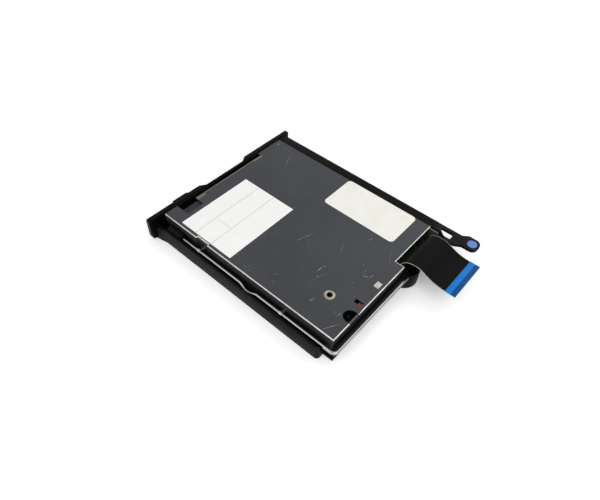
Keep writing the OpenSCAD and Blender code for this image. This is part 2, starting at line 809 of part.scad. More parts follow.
// Outline of the latch arm, seen from above
function latch_outline() = concat(
    [[-tray_half, hinge_y], [-tray_half, pad_rear - pad_r]],
    arc([-tray_half + pad_r, pad_rear - pad_r], pad_r, 180, 90),
    arc([-tray_half + pad_w - pad_r, pad_rear - pad_r], pad_r, 90, 0),
    [[-tray_half + pad_w, plate_rear], [arm_in, rail_rear + 0.7*arm_l], [-rail_in, rear_wall_y],
     [-rail_in, hinge_y]]);

// Side view of the latch arm: level, up the ramp, level again
function latch_side() = [
    [hinge_y, top_z - arm_t], [plate_rear, top_z - arm_t], [ramp_rear, pad_top - arm_t], [pad_rear, pad_top - arm_t],
    [pad_rear, pad_top], [ramp_rear, pad_top], [plate_rear, top_z], [hinge_y, top_z]];

module latch_arm() {
    color("#191816") difference() {
        union() {
            intersection() {
                slab(0, 2*top_z) polygon(latch_outline());
                translate([-tray_half, 0, 0]) rotate([90, 0, 90]) linear_extrude(arm_w) polygon(latch_side());
            }
            bar_x(-tray_half, -rail_in, hinge_r, hinge_y, hinge_z);
        }
        // window for the bay's catch, with one slanted corner
        slab(0, 2*top_z) polygon([
            [-tray_half + window_bar, window_y], [-tray_half + window_bar + window_w/3, window_y],
            [-tray_half + window_bar + window_w, window_y + 0.6*window_w],
            [-tray_half + window_bar + window_w, window_y + window_l],
            [-tray_half + window_bar, window_y + window_l]]);
        // recess for the touch point
        translate([touch_x, touch_y, pad_top - touch_depth]) linear_extrude(touch_depth + cut)
            rounded([touch_w, touch_w], touch_r);
    }
}

module touch_point() {
    color("#5f80cd") translate([touch_x, touch_y, pad_top - touch_depth])
        linear_extrude(touch_depth + touch_out) rounded([touch_w, touch_w], touch_r);
}

// The flat cable

// Middle line of the cable, from the connector: shares of its reach to the rear and of its rise over
// the cover's top
route_shares = [[0, -2.83], [0, -1.52], [0.018, -0.69], [0.069, 0.14], [0.157, 0.72], [0.292, 1], [0.431, 0.86],
                [0.555, 0.38], [0.679, -0.1], [0.832, -0.48], [1, -0.62]];
connector_in = 3.7;
connector_y = rear - connector_in;
cable_route = [for (s = route_shares) [connector_y + s[0]*cable_reach, top_z + s[1]*cable_rise]];
curve_steps = 4;
cable_left = -cable_x - cable_w/2;
cable_end = cable_route[len(cable_route) - 1];

// A point on the smooth curve through four route points
function curve(a, b, c, d, t) =
    0.5*((2*b) + (c - a)*t + (2*a - 5*b + 4*c - d)*t*t + (3*b - a - 3*c + d)*t*t*t);

function pick(list, i) = list[max(0, min(len(list) - 1, i))];

function smooth(list) = concat(
    [for (i = [0:len(list) - 2], k = [0:curve_steps - 1])
        curve(pick(list, i - 1), list[i], list[i + 1], pick(list, i + 2), k/curve_steps)],
    [list[len(list) - 1], list[len(list) - 1] + [stiffener_l, 0]]);

// The line moved sideways by a distance
function beside(line, distance) = [for (i = [0:len(line) - 1])
    let (way = pick(line, i + 1) - pick(line, i - 1)) line[i] + distance*[-way[1], way[0]]/norm(way)];

module flex_cable() {
    line = smooth(cable_route);
    upper = beside(line, cable_t/2);
    lower = beside(line, -cable_t/2);
    color("#0d0d0c") translate([cable_left, 0, 0]) rotate([90, 0, 90]) linear_extrude(cable_w)
        polygon(concat(upper, [for (i = [len(lower) - 1:-1:0]) lower[i]]));
}

module cable_stiffener() {
    z = cable_end[1] + cable_t/2;
    color("#0076d2") block([cable_left, cable_end[0], z],
                           [cable_left + cable_w, cable_end[0] + stiffener_l, z + stiffener_t]);
}

pitch_share = 0.6;
contact_t = 0.06;
cable_margin = 1;

module cable_contacts() {
    pitch = (cable_w - cable_margin)/conductors;
    z = cable_end[1] - cable_t/2;
    color("#c8ccd0") for (i = [0:conductors - 1]) {
        x = -cable_x + (i - (conductors - 1)/2)*pitch;
        block([x - pitch*pitch_share/2, cable_end[0] + stiffener_l/3, z - contact_t],
              [x + pitch*pitch_share/2, cable_end[0] + stiffener_l, z]);
    }
}

connector_over = 1.2;

module cable_connector() {
    color("#2b2620") difference() {
        block([cable_left - connector_over, connector_y - connector_l/2, board_top],
              [cable_left + cable_w + connector_over, connector_y + connector_l/2, board_top + connector_h]);
        block([cable_left - run_gap, connector_y - cable_t/2 - run_gap, cable_route[0][1] - run_gap],
              [cable_left + cable_w + run_gap, connector_y + cable_t/2 + run_gap, board_top + connector_h + cut]);
    }
}

// Disk holder, slide plate and shutter lever

bridge_y = 6.9;
bridge_l = 3.5;
slide_front = 12;
slide_tail = 10;
slide_rear = guide_rear + slide_tail;
tongue_l = 6;
tongue_lap = 3.8;
tongue_y = spring_rear - tongue_lap;
slide_wall_top = guide_z + guide_pin_d;

module slide_plate() {
    color("#b9bcc0") difference() {
        union() {
            block([-slide_out, front + bridge_y, slide_z], [slide_out, front + bridge_y + bridge_l, slide_top]);
            both_sides() {
                block([slide_out - slide_arm_w, front + bridge_y, slide_z], [slide_out, front + slide_rear, slide_top]);
                block([slide_in, front + slide_front, slide_z], [slide_out, front + slide_rear, slide_wall_top]);
                block([spring_x - hook_w, front + tongue_y, slide_z],
                      [slide_out - slide_arm_w/2, front + tongue_y + tongue_l, slide_top]);
            }
        }
        // slanted slots, which lower the holder as the plate moves out
        both_sides() for (y = [guide_front, guide_rear]) {
            translate([slide_in - cut, 0, 0]) rotate([90, 0, 90]) linear_extrude(slide_out - slide_in + 2*cut)
                long_hole([front + y, guide_z], [front + y + eject_travel, guide_z - drop], guide_slot_r);
        }
    }
}

spring_r = 1.2;
spring_bore = 0.9;
spring_z = slide_top + 2*run_gap + spring_r;

module eject_springs() {
    color("#c4c6c8") both_sides() difference() {
        bar_y(front + spring_front, front + spring_rear, spring_r, spring_x, spring_z);
        bar_y(front + spring_front + spring_r, front + spring_rear + cut, spring_bore, spring_x, spring_z);
    }
}

notch_lap = 2;
notch_front = spindle_y + rotor_r - notch_lap;
lever_edge = 5.55;
lever_in = 3;
lever_x = holder_x - lever_edge;
lever_y = holder_rear - front - lever_in;
lever_rest = 247;
half_turn = 180;
lever_t = 0.25;
lever_pivot_r = 3;
finger_r = 0.8;
finger_head_r = 1.6;
lever_slot_r = finger_r + slide_gap + run_gap;
lever_pin_r = 1;
lever_pin_l = 2.2;
lever_at = [lever_x, front + lever_y];
lever_tip = lever_at + lever_l*[cos(lever_rest), sin(lever_rest)];
hub_window_r = 14;

// The arc that the lever's finger sweeps, as wide as its slot
function sweep_outline() = let (last = lever_rest - lever_swing) concat(
    arc(lever_at, lever_l + lever_slot_r, lever_rest, last, 16),
    arc(lever_at + lever_l*[cos(last), sin(last)], lever_slot_r, last, last - half_turn),
    arc(lever_at, lever_l - lever_slot_r, last, lever_rest, 16),
    arc(lever_tip, lever_slot_r, lever_rest + half_turn, lever_rest));

module disk_holder() {
    color("#a3a6aa") {
        slab(holder_top - holder_t, holder_top) difference() {
            translate([-holder_x, holder_front]) square([2*holder_x, holder_rear - holder_front]);
            translate([-head_notch, front + notch_front]) square([2*head_notch, drive_l]);
            translate([0, front + spindle_y - rotor_r]) circle(r = hub_window_r);
            polygon(sweep_outline());
            translate(lever_at) circle(r = lever_pin_r + run_gap);
        }
        both_sides() {
            block([holder_x - holder_t, holder_front, holder_z], [holder_x, holder_rear, holder_top]);
            block([holder_x - holder_lip, holder_front, holder_z], [holder_x, holder_rear, holder_z + holder_t]);
            // stop for the disk
            block([holder_x - holder_lip, holder_rear - holder_t, holder_z],
                  [holder_x, holder_rear, holder_top - lever_pin_l - lever_room]);
            for (y = [guide_front, guide_rear]) {
                bar_x(holder_x - holder_t/2, bay_x + frame_t - slide_gap, guide_pin_d/2, front + y, guide_z);
            }
        }
    }
}

module shutter_lever() {
    side = lever_pivot_r*[-sin(lever_rest), cos(lever_rest)];
    tip_side = finger_head_r*[-sin(lever_rest), cos(lever_rest)];
    z = holder_top + run_gap;
    color("#d0d2d4") {
        slab(z, z + lever_t) difference() {
            union() {
                translate(lever_at) circle(r = lever_pivot_r);
                translate(lever_tip) circle(r = finger_head_r);
                polygon([lever_at + side, lever_at - side, lever_tip - tip_side, lever_tip + tip_side]);
            }
            translate(lever_at) circle(r = lever_pin_r + run_gap);
        }
        bar_z(lever_tip[0], lever_tip[1], finger_r, holder_top - holder_t - lever_pin_l, z);
    }
}

module lever_pin() {
    color("#9a9ca0") bar_z(lever_x, front + lever_y, lever_pin_r, holder_top - holder_t - lever_pin_l,
                           holder_top + 2*run_gap + lever_t);
}

lever_spring_t = 0.5;

module lever_spring() {
    color("silver") difference() {
        bar_z(lever_x, front + lever_y, lever_pin_r + lever_spring_t, holder_top - holder_t - lever_pin_l + slide_gap,
              holder_top - holder_t - run_gap);
        bar_z(lever_x, front + lever_y, lever_pin_r + run_gap, 0, top_z);
    }
}

// Spindle motor

motor_top = deck_z + motor_board_t;
bearing_r = 4.5;
bearing_top = 5.6;
core_z = 3.9;
core_t = 1.2;
core_hub_r = 7;
magnet_t = 1.7;
rotor_wall = 1;
rotor_z = 3.8;
rotor_plate_t = 0.7;
hub_t = 0.8;
rotor_top = hub_z - hub_t;
magnet_r = rotor_r - rotor_wall;
core_r = magnet_r - magnet_t - slide_gap;
pole_w = 2.2;
pole_foot = 1.2;
coil_t = 1;
coil_l = 4.6;
motor_board_w = 52;
motor_board_tail = 19.5;
pin_circle = 10;
drive_pin_r = 1;
drive_pin_out = 0.7;
drive_pin_top = hub_z + drive_pin_out;
chuck_in = 4;
chuck_out = 8;
chuck_t = 0.35;
spindle_at = [0, front + spindle_y, 0];

module motor_board() {
    color("#2f5a3c") slab(deck_z, motor_top) difference() {
        translate([-motor_board_w/2, front + spindle_y - motor_board_w/2])
            square([motor_board_w, motor_board_tail + motor_board_w/2]);
        translate([spindle_at[0], spindle_at[1]]) circle(r = bearing_r + run_gap);
    }
}

module spindle_bearing() {
    color("#b08d57") translate(spindle_at) difference() {
        bar_z(0, 0, bearing_r, deck_z, bearing_top);
        bar_z(0, 0, shaft_r + run_gap, deck_z + frame_floor_t/2, top_z);
    }
}

module stator_core() {
    color("#6d7176") translate(spindle_at) difference() {
        union() {
            bar_z(0, 0, core_hub_r, motor_top, core_z + core_t);
            for (i = [0:poles - 1]) rotate(i*360/poles) {
                block([core_hub_r - pole_foot, -pole_w/2, core_z], [core_r - pole_foot, pole_w/2, core_z + core_t]);
                intersection() {
                    bar_z(0, 0, core_r, core_z, core_z + core_t);
                    block([core_r - pole_foot - run_gap, -pole_w, core_z], [core_r + cut, pole_w, core_z + core_t]);
                }
            }
        }
        bar_z(0, 0, bearing_r + run_gap, 0, top_z);
    }
}

module stator_coils() {
    color("#b5692e") translate(spindle_at) for (i = [0:poles - 1]) rotate(i*360/poles) {
        x = (core_hub_r + core_r - pole_foot - coil_l)/2;
        difference() {
            block([x, -pole_w/2 - coil_t, core_z - coil_t/3], [x + coil_l, pole_w/2 + coil_t, core_z + core_t + coil_t/3]);
            block([x - cut, -pole_w/2 - run_gap, core_z - run_gap],
                  [x + coil_l + cut, pole_w/2 + run_gap, core_z + core_t + run_gap]);
        }
    }
}

module spindle_shaft() {
    color("#dcdcdc") translate(spindle_at) bar_z(0, 0, shaft_r, deck_z + frame_floor_t/2 + run_gap, hub_z + shaft_r);
}

module spindle_rotor() {
    color("#9b9ea3") translate(spindle_at) difference() {
        bar_z(0, 0, rotor_r, rotor_z, rotor_top);
        bar_z(0, 0, rotor_r - rotor_wall, rotor_z - cut, rotor_top - rotor_plate_t);
        bar_z(0, 0, shaft_r + run_gap/2, 0, top_z);
        bar_z(pin_circle, 0, drive_pin_r + slide_gap, 0, top_z);
    }
}

module rotor_magnet() {
    color("#3a3a3c") translate(spindle_at) difference() {
        bar_z(0, 0, magnet_r - run_gap/2, rotor_z, rotor_top - rotor_plate_t);
        bar_z(0, 0, magnet_r - magnet_t, rotor_z - cut, rotor_top);
    }
}

module spindle_hub() {
    color("#c9b27a") translate(spindle_at) difference() {
        bar_z(0, 0, hub_r, rotor_top, hub_z);
        bar_z(0, 0, shaft_r + run_gap/2, 0, top_z);
        bar_z(pin_circle, 0, drive_pin_r + run_gap, 0, top_z);
        difference() {
            bar_z(0, 0, chuck_out + run_gap/2, hub_z - chuck_t, top_z);
            bar_z(0, 0, chuck_in - run_gap/2, 0, top_z);
        }
    }
}

module chuck_magnet() {
    color("#2d2d30") translate(spindle_at) difference() {
        bar_z(0, 0, chuck_out, hub_z - chuck_t, hub_z);
        bar_z(0, 0, chuck_in, 0, top_z);
    }
}

module drive_pin() {
    color("#e0e0e0") translate(spindle_at)
        bar_z(pin_circle, 0, drive_pin_r, rotor_top - rotor_plate_t + drive_pin_travel + run_gap, drive_pin_top);
}

// Head carriage, guide rod, lead screw and stepper motor

carriage_z = 5;
carriage_t = 1.4;
carriage_top = carriage_z + carriage_t;
carriage_half = 6.5;
carriage_lead = 4.5;
carriage_tail = 2.5;
carriage_front = front + head_y - carriage_lead;
carriage_rear = front + arm_pivot_y + carriage_tail;
post_half = 7.5;
post_l = 5;
ear_w = 1.2;
arm_z = 12.6;
arm_barrel_r = 1;
arm_pin_r = 0.5;
ear_top = arm_z + arm_barrel_r;
post_top = arm_z - arm_barrel_r - slide_gap;
sleeve_r = 1.8;
sleeve_w = 2.6;
sleeve_l = 5;
rear_sleeve_l = 7.5;
sleeve_in = 0.5;
pad_half = 2.5;
head_h = 2.4;
head_depth = 5;
arm_t_sheet = 0.3;
arm_top = arm_z + arm_barrel_r + run_gap;
arm_half = 6;
arm_tip_half = 3;
arm_neck_y = front + head_y + 2*carriage_lead;
arm_y = front + arm_pivot_y;
head_front = front + head_y - pad_half;
barrel_in = 1.7;
arm_spring_half = 1.5;
arm_spring_r = 0.72;

module head_carriage() {
    color("#e8e4da") difference() {
        union() {
            block([-carriage_half, carriage_front, carriage_z], [carriage_half, carriage_rear, carriage_top]);
            block([-post_half, carriage_rear - post_l, carriage_z], [post_half, carriage_rear, post_top]);
            both_sides() block([post_half - ear_w, carriage_rear - post_l, carriage_z], [post_half, carriage_rear, ear_top]);
            // sleeves on the guide rod
            for (y = [head_front + sleeve_in, carriage_rear - rear_sleeve_l - slide_gap]) {
                bar_y(y, y + sleeve_l, sleeve_r, -rod_x, rod_z);
                block([-rod_x, y, carriage_z], [-carriage_half + cut, y + sleeve_l, rod_z + sleeve_r]);
            }
        }
        bar_y(carriage_front - cut, carriage_rear + cut, rod_r + run_gap, -rod_x, rod_z);
        bar_x(-post_half - cut, post_half + cut, arm_pin_r + run_gap/2, arm_y, arm_z);
    }
}

module lower_head() {
    color("#3c3a38") block([-pad_half, head_front, carriage_top], [pad_half, head_front + head_depth, carriage_top + head_h]);
}

follower_l = 4;
follower_t = 1.2;
follower_play = 0.15;
follower_in = 3.3;

module screw_follower() {
    y = head_front + follower_in;
    color("#d9c9a0") block([carriage_half, y, screw_z - follower_t/2],
                           [screw_x - screw_r - screw_throw - follower_play, y + follower_l, screw_z + follower_t/2]);
}

module head_arm() {
    color("#c4c6c9") {
        slab(arm_top - arm_t_sheet, arm_top) union() {
            translate([-arm_half, arm_neck_y]) square([2*arm_half, arm_y - arm_neck_y]);
            translate([-arm_tip_half, head_front]) square([2*arm_tip_half, arm_neck_y - head_front + arm_t_sheet]);
        }
        difference() {
            both_sides() bar_x(barrel_in, arm_half, arm_barrel_r, arm_y, arm_z);
            bar_x(-post_half, post_half, arm_pin_r + run_gap, arm_y, arm_z);
        }
    }
}

upper_head_t = 0.35;

module upper_head() {
    color("#3c3a38") block([-pad_half, head_front, arm_top - arm_t_sheet - upper_head_t],
                           [pad_half, head_front + head_depth, arm_top - arm_t_sheet]);
}

module arm_pin() {
    color("silver") bar_x(-post_half, post_half, arm_pin_r, arm_y, arm_z);
}

module arm_spring() {
    color("silver") difference() {
        bar_x(-arm_spring_half, arm_spring_half, arm_spring_r, arm_y, arm_z);
        bar_x(-post_half, post_half, arm_pin_r + run_gap, arm_y, arm_z);
    }
}

flex_half = 5;
flex_t = 0.12;
flex_l = 7;
flex_rise = 2.4;
// The head cable's middle line, as shares of its length and rise
flex_shares = [[0, 1], [0.2, 1.1], [0.4, 0.9], [0.6, 0.45], [0.8, 0.1], [1, 0]];

module head_flex() {
    line = [for (s = flex_shares) [carriage_rear + s[0]*flex_l, board_top + cut + s[1]*flex_rise]];
    color("#c07a2a") translate([-flex_half, 0, 0]) rotate([90, 0, 90]) linear_extrude(2*flex_half)
        polygon(concat(beside(line, flex_t/2), [for (i = [len(line) - 1:-1:0]) beside(line, -flex_t/2)[i]]));
}

rod_lead = 1;
rod_front = spindle_y + rotor_r + rod_lead;
clamp_w = 4.8;
clamp_l = 2;
rear_clamp_l = 1;
clamp_top = 6.9;
rod_rear = carriage_rear + slide_gap + rear_clamp_l;

module guide_rod() {
    color("#e2e3e4") bar_y(front + rod_front, rod_rear, rod_r, -rod_x, rod_z);
}

module rod_clamps() {
    color("#7d8085") difference() {
        union() {
            block([-rod_x - clamp_w/2, front + rod_front, deck_z], [-rod_x + clamp_w/2, front + rod_front + clamp_l, clamp_top]);
            block([-rod_x - clamp_w/2, rod_rear - rear_clamp_l, deck_z], [-rod_x + clamp_w/2, rod_rear, clamp_top]);
        }
        bar_y(front + rod_front - cut, rod_rear + cut, rod_r + run_gap/2, -rod_x, rod_z);
    }
}

screw_lead_in = 6;
screw_front = spindle_y + rotor_r + screw_lead_in;
journal_r = 0.6;
bearing_l = 2;
bracket_t = 0.8;
bracket_half = 4.2;
bracket_top = 9.2;
bracket_foot = 5;
screw_rear = front + stepper_front - bracket_t - run_gap;
slices_per_turn = 6;

module lead_screw() {
    length = screw_rear - front - screw_front - run_gap;
    color("#cfd1d3") {
        translate([screw_x, front + screw_front + run_gap, screw_z]) rotate([-90, 0, 0])
            linear_extrude(length, twist = -360*length/screw_lead, slices = round(slices_per_turn*length/screw_lead))
                translate([screw_throw, 0]) circle(r = screw_r, $fn = 12);
        bar_y(front + screw_front - bearing_l, front + stepper_front + bearing_l, journal_r, screw_x, screw_z);
    }
}

module screw_bearing() {
    color("#7d8085") difference() {
        block([screw_x - bearing_l, front + screw_front - bearing_l, deck_z], [screw_x + bearing_l, front + screw_front, clamp_top]);
        bar_y(front + screw_front - bearing_l - cut, front + screw_front + cut, journal_r + run_gap, screw_x, screw_z);
    }
}

module stepper_motor() {
    color("#a9abae") difference() {
        bar_y(front + stepper_front, front + stepper_front + stepper_l, stepper_r, screw_x, screw_z);
        bar_y(front + stepper_front - cut, front + stepper_front + bearing_l + run_gap, journal_r + run_gap, screw_x, screw_z);
    }
}

module stepper_bracket() {
    color("#b9bcc0") difference() {
        union() {
            block([screw_x - bracket_half, front + stepper_front - bracket_t, deck_z],
                  [screw_x + bracket_half, front + stepper_front, bracket_top]);
            block([screw_x - bracket_half, front + stepper_front - bracket_foot, deck_z],
                  [screw_x + bracket_half, front + stepper_front, deck_z + sheet_t]);
        }
        bar_y(front + stepper_front - bracket_foot - cut, front + stepper_front + cut, journal_r + slide_gap, screw_x, screw_z);
    }
}

// Boards, switches and screws

board_side = 0.6;
board_half = bay_x - board_side;
board_left_in = 13.5;
board_right_in = 19;
board_rear = rear - frame_t - board_side;
strip_front = rod_rear + slide_gap;
screw_head_r = 1.8;
screw_head_t = 0.9;
screw_hole_r = 1;

module main_board() {
    color("#2f5a3c") slab(board_z, board_top) difference() {
        union() {
            translate([-board_half, board_rear - board_l]) square([board_half - board_left_in, board_l]);
            translate([board_right_in, board_rear - board_l]) square([board_half - board_right_in, board_l]);
            translate([-board_half, strip_front]) square([2*board_half, board_rear - strip_front]);
        }
        translate([screw_x - stepper_r - board_side, front])
            square([2*(stepper_r + board_side), stepper_front + stepper_l + board_side]);
        translate([rivet_x, front + rivet_y]) circle(r = rivet_post_r + slide_gap);
        for (p = board_posts) translate(p) circle(r = screw_hole_r);
    }
}

// Chips on the main board: centres as shares of the half width and of the board's length before the rear
chip_shares = [[-0.708, -0.67], [-0.417, -0.8], [0.75, -0.5]];
chip_sizes = [[12, 12, 1.5], [6, 10, 1.7], [9, 9, 1.4]];

// A box standing on a level, about its centre
module standing(place, size, z) {
    translate([place[0] - size[0]/2, place[1] - size[1]/2, z]) cube(size);
}

module control_chips() {
    color("#26272a") for (i = [0:len(chip_shares) - 1]) {
        standing([chip_shares[i][0]*half_w, rear + chip_shares[i][1]*board_l], chip_sizes[i], board_top);
    }
}

// Small parts on the main board, each as shares of the half width and of the board's length before the rear
part_shares = [[-0.54, -0.35], [-0.46, -0.35], [-0.9, -0.54], [-0.9, -0.38], [0.48, -0.27], [0.56, -0.27],
               [0.92, -0.65], [0.92, -0.38], [0.62, -0.97], [0.72, -0.97], [-0.6, -0.97], [-0.54, -0.97]];
part_size = [2, 1.2, 0.9];

module board_parts() {
    color("#9c7a4a") for (s = part_shares) standing([s[0]*half_w, rear + s[1]*board_l], part_size, board_top);
}

module board_screws() {
    color("#a6a8ab") for (p = board_posts) {
        bar_z(p[0], p[1], screw_head_r, board_top, board_top + screw_head_t);
        bar_z(p[0], p[1], thread_r - run_gap, drive_z + frame_floor_t/2, board_top + screw_head_t/2);
    }
}

switch_size = [6, 5, 4];
switch_y = 14.5;
switch_in = 7.55;
switch_pitch = 7;
switch_x = holder_x - switch_in;
disk_switch_x = switch_x - switch_pitch;
plunger_r = 0.9;
plunger_travel = 0.9;
plunger_l = 2.1;
plunger_out = 1.5;
switch_top = deck_z + switch_size[2];
plunger_top = switch_top + plunger_out;

module sensor_switches() {
    color("#303236") for (x = [-switch_x, switch_x, disk_switch_x]) difference() {
        standing([x, front + switch_y], switch_size, deck_z);
        bar_z(x, front + switch_y, plunger_r + run_gap, plunger_top - plunger_l - plunger_travel - plunger_r/3, top_z);
    }
}

module plunger(x) {
    bar_z(x, front + switch_y, plunger_r, plunger_top - plunger_l, plunger_top);
}

module density_plunger() {
    color("#f0efe9") plunger(-switch_x);
}

module protect_plunger() {
    color("#f0efe9") plunger(switch_x);
}

module disk_plunger() {
    color("#d8402a") plunger(disk_switch_x);
}

tray();
front_bezel();
base_frame();
top_cover();
rating_label();
caution_label();
cover_rivet();
retaining_wire();
wire_clip();
retaining_pins();
latch_arm();
touch_point();
flex_cable();
cable_stiffener();
cable_contacts();
cable_connector();
eject_button();
slide_plate();
eject_springs();
disk_holder();
shutter_lever();
lever_pin();
lever_spring();
slot_flap();
flap_spring();
activity_lamp();
lamp_lens();
motor_board();
stator_core();
stator_coils();
spindle_bearing();
spindle_shaft();
spindle_rotor();
rotor_magnet();
spindle_hub();
chuck_magnet();
drive_pin();
stepper_motor();
stepper_bracket();
lead_screw();
screw_bearing();
guide_rod();
rod_clamps();
head_carriage();
lower_head();
screw_follower();
head_arm();
upper_head();
arm_pin();
arm_spring();
head_flex();
main_board();
control_chips();
board_parts();
sensor_switches();
density_plunger();
protect_plunger();
disk_plunger();
board_screws();
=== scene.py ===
"""A slim floppy disk drive in its bay tray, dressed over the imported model.

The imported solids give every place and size. The casing, tray, bezel, latch, wire and cable are made again
with rolled and moulded edges, the springs, windings, contacts and chip legs are grown by geometry nodes,
and each piece gets the finish of the real one.
"""
import logging
import math
import random
from collections.abc import Callable, Iterable, Sequence
from dataclasses import dataclass
from enum import Enum
from typing import Any

import bmesh
import bpy
from mathutils import Matrix, Vector


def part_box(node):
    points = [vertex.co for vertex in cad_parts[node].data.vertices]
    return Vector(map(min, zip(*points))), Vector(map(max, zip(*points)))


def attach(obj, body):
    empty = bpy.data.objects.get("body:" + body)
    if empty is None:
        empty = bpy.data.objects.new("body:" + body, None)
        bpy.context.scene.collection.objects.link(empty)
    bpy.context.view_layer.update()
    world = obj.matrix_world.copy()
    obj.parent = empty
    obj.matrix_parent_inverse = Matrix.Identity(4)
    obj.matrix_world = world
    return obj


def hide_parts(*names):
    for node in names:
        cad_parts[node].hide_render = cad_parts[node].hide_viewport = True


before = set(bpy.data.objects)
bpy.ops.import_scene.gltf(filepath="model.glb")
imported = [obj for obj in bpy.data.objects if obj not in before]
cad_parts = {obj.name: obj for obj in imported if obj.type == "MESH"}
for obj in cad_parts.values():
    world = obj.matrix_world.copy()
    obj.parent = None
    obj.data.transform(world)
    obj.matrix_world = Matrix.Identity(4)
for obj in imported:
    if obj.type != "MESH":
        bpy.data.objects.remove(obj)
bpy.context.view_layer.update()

log = logging.getLogger("floppy_drive")

MM = 0.001
Pair = tuple[float, float]
Point = tuple[float, float, float]
Quad = tuple[float, float, float, float]
Tree = bpy.types.NodeTree
Socket = bpy.types.NodeSocket
Mesh = bpy.types.Mesh
Work = bmesh.types.BMesh


def linear(colour: str) -> Quad:
    """Turns an sRGB hex value into the linear colour that the shaders take.

    Args:
        colour: A value such as "#4b4d51".

    Returns:
        Red, green, blue and an alpha of one.
    """
    parts = [int(colour[i:i + 2], 16) / 255 for i in (1, 3, 5)]
    red, green, blue = [c / 12.92 if c <= 0.04045 else ((c + 0.055) / 1.055) ** 2.4 for c in parts]
    return red, green, blue, 1.0


def fill(tree: Tree, node: Any, inputs: dict[Any, Any]) -> None:
    """Links each input of a node to its socket, or sets it to its plain value."""
    for key, value in inputs.items():
        if isinstance(value, Socket):
            tree.links.new(value, node.inputs[key])
        else:
            node.inputs[key].default_value = value


def add_node(tree: Tree, kind: str, inputs: dict[Any, Any] | None = None, **settings: Any) -> Any:
    """Adds one node, sets it up and links it.

    Args:
        tree: The shader or geometry tree.
        kind: The node's type name.
        inputs: Input name or index to a socket, which is linked, or to a plain value.
        settings: The node's own properties.

    Returns:
        The new node.
    """
    node = tree.nodes.new(kind)
    for name, value in settings.items():
        setattr(node, name, value)
    fill(tree, node, inputs or {})
    return node


def reckon(tree: Tree, operation: str, *values: Any) -> Socket:
    """Adds a maths node over sockets or numbers, and gives its result."""
    return add_node(tree, "ShaderNodeMath", dict(enumerate(values)), operation=operation).outputs[0]


def ramp(tree: Tree, value: Socket, low: float, high: float, start: float = 0.0,
         end: float = 1.0) -> Socket:
    """Adds a clamped ramp over value and gives its result: start up to low, and end from high on."""
    return add_node(tree, "ShaderNodeMapRange", {"Value": value, "From Min": low, "From Max": high, "To Min": start,
                                                 "To Max": end}).outputs["Result"]


def noise(tree: Tree, place: Socket, scale: float, detail: float,
          rough: float = 0.5) -> Socket:
    """Adds noise of scale waves per metre, with finer layers as strong as rough says, and gives its result."""
    return add_node(tree, "ShaderNodeTexNoise", {"Vector": place, "Scale": scale, "Detail": detail,
                                                 "Roughness": rough}).outputs["Fac"]


def blend(tree: Tree, share: Socket, first: Any, second: Any) -> Socket:
    """Mixes two colours, all of the second where share is one, and gives the result."""
    return add_node(tree, "ShaderNodeMix", {"Factor": share, 6: first, 7: second}, data_type="RGBA").outputs[2]


def opened(owner: Any, kind: str = "BSDF_PRINCIPLED") -> tuple[Any, Tree, Any]:
    """Turns on the nodes of a material or world, and gives it with its tree and its shader."""
    owner.use_nodes = True
    return owner, owner.node_tree, next(n for n in owner.node_tree.nodes if n.type == kind)


def stand(name: str, data: Any) -> bpy.types.Object:
    """Puts a mesh, lamp or camera into the scene as an object."""
    thing = bpy.data.objects.new(name, data)
    bpy.context.scene.collection.objects.link(thing)
    return thing


class Grain(Enum):
    """How a surface was made, which sets its fine texture."""

    MOULDED = "moulded"
    ROLLED = "rolled"
    DRAWN = "drawn"
    COATED = "coated"


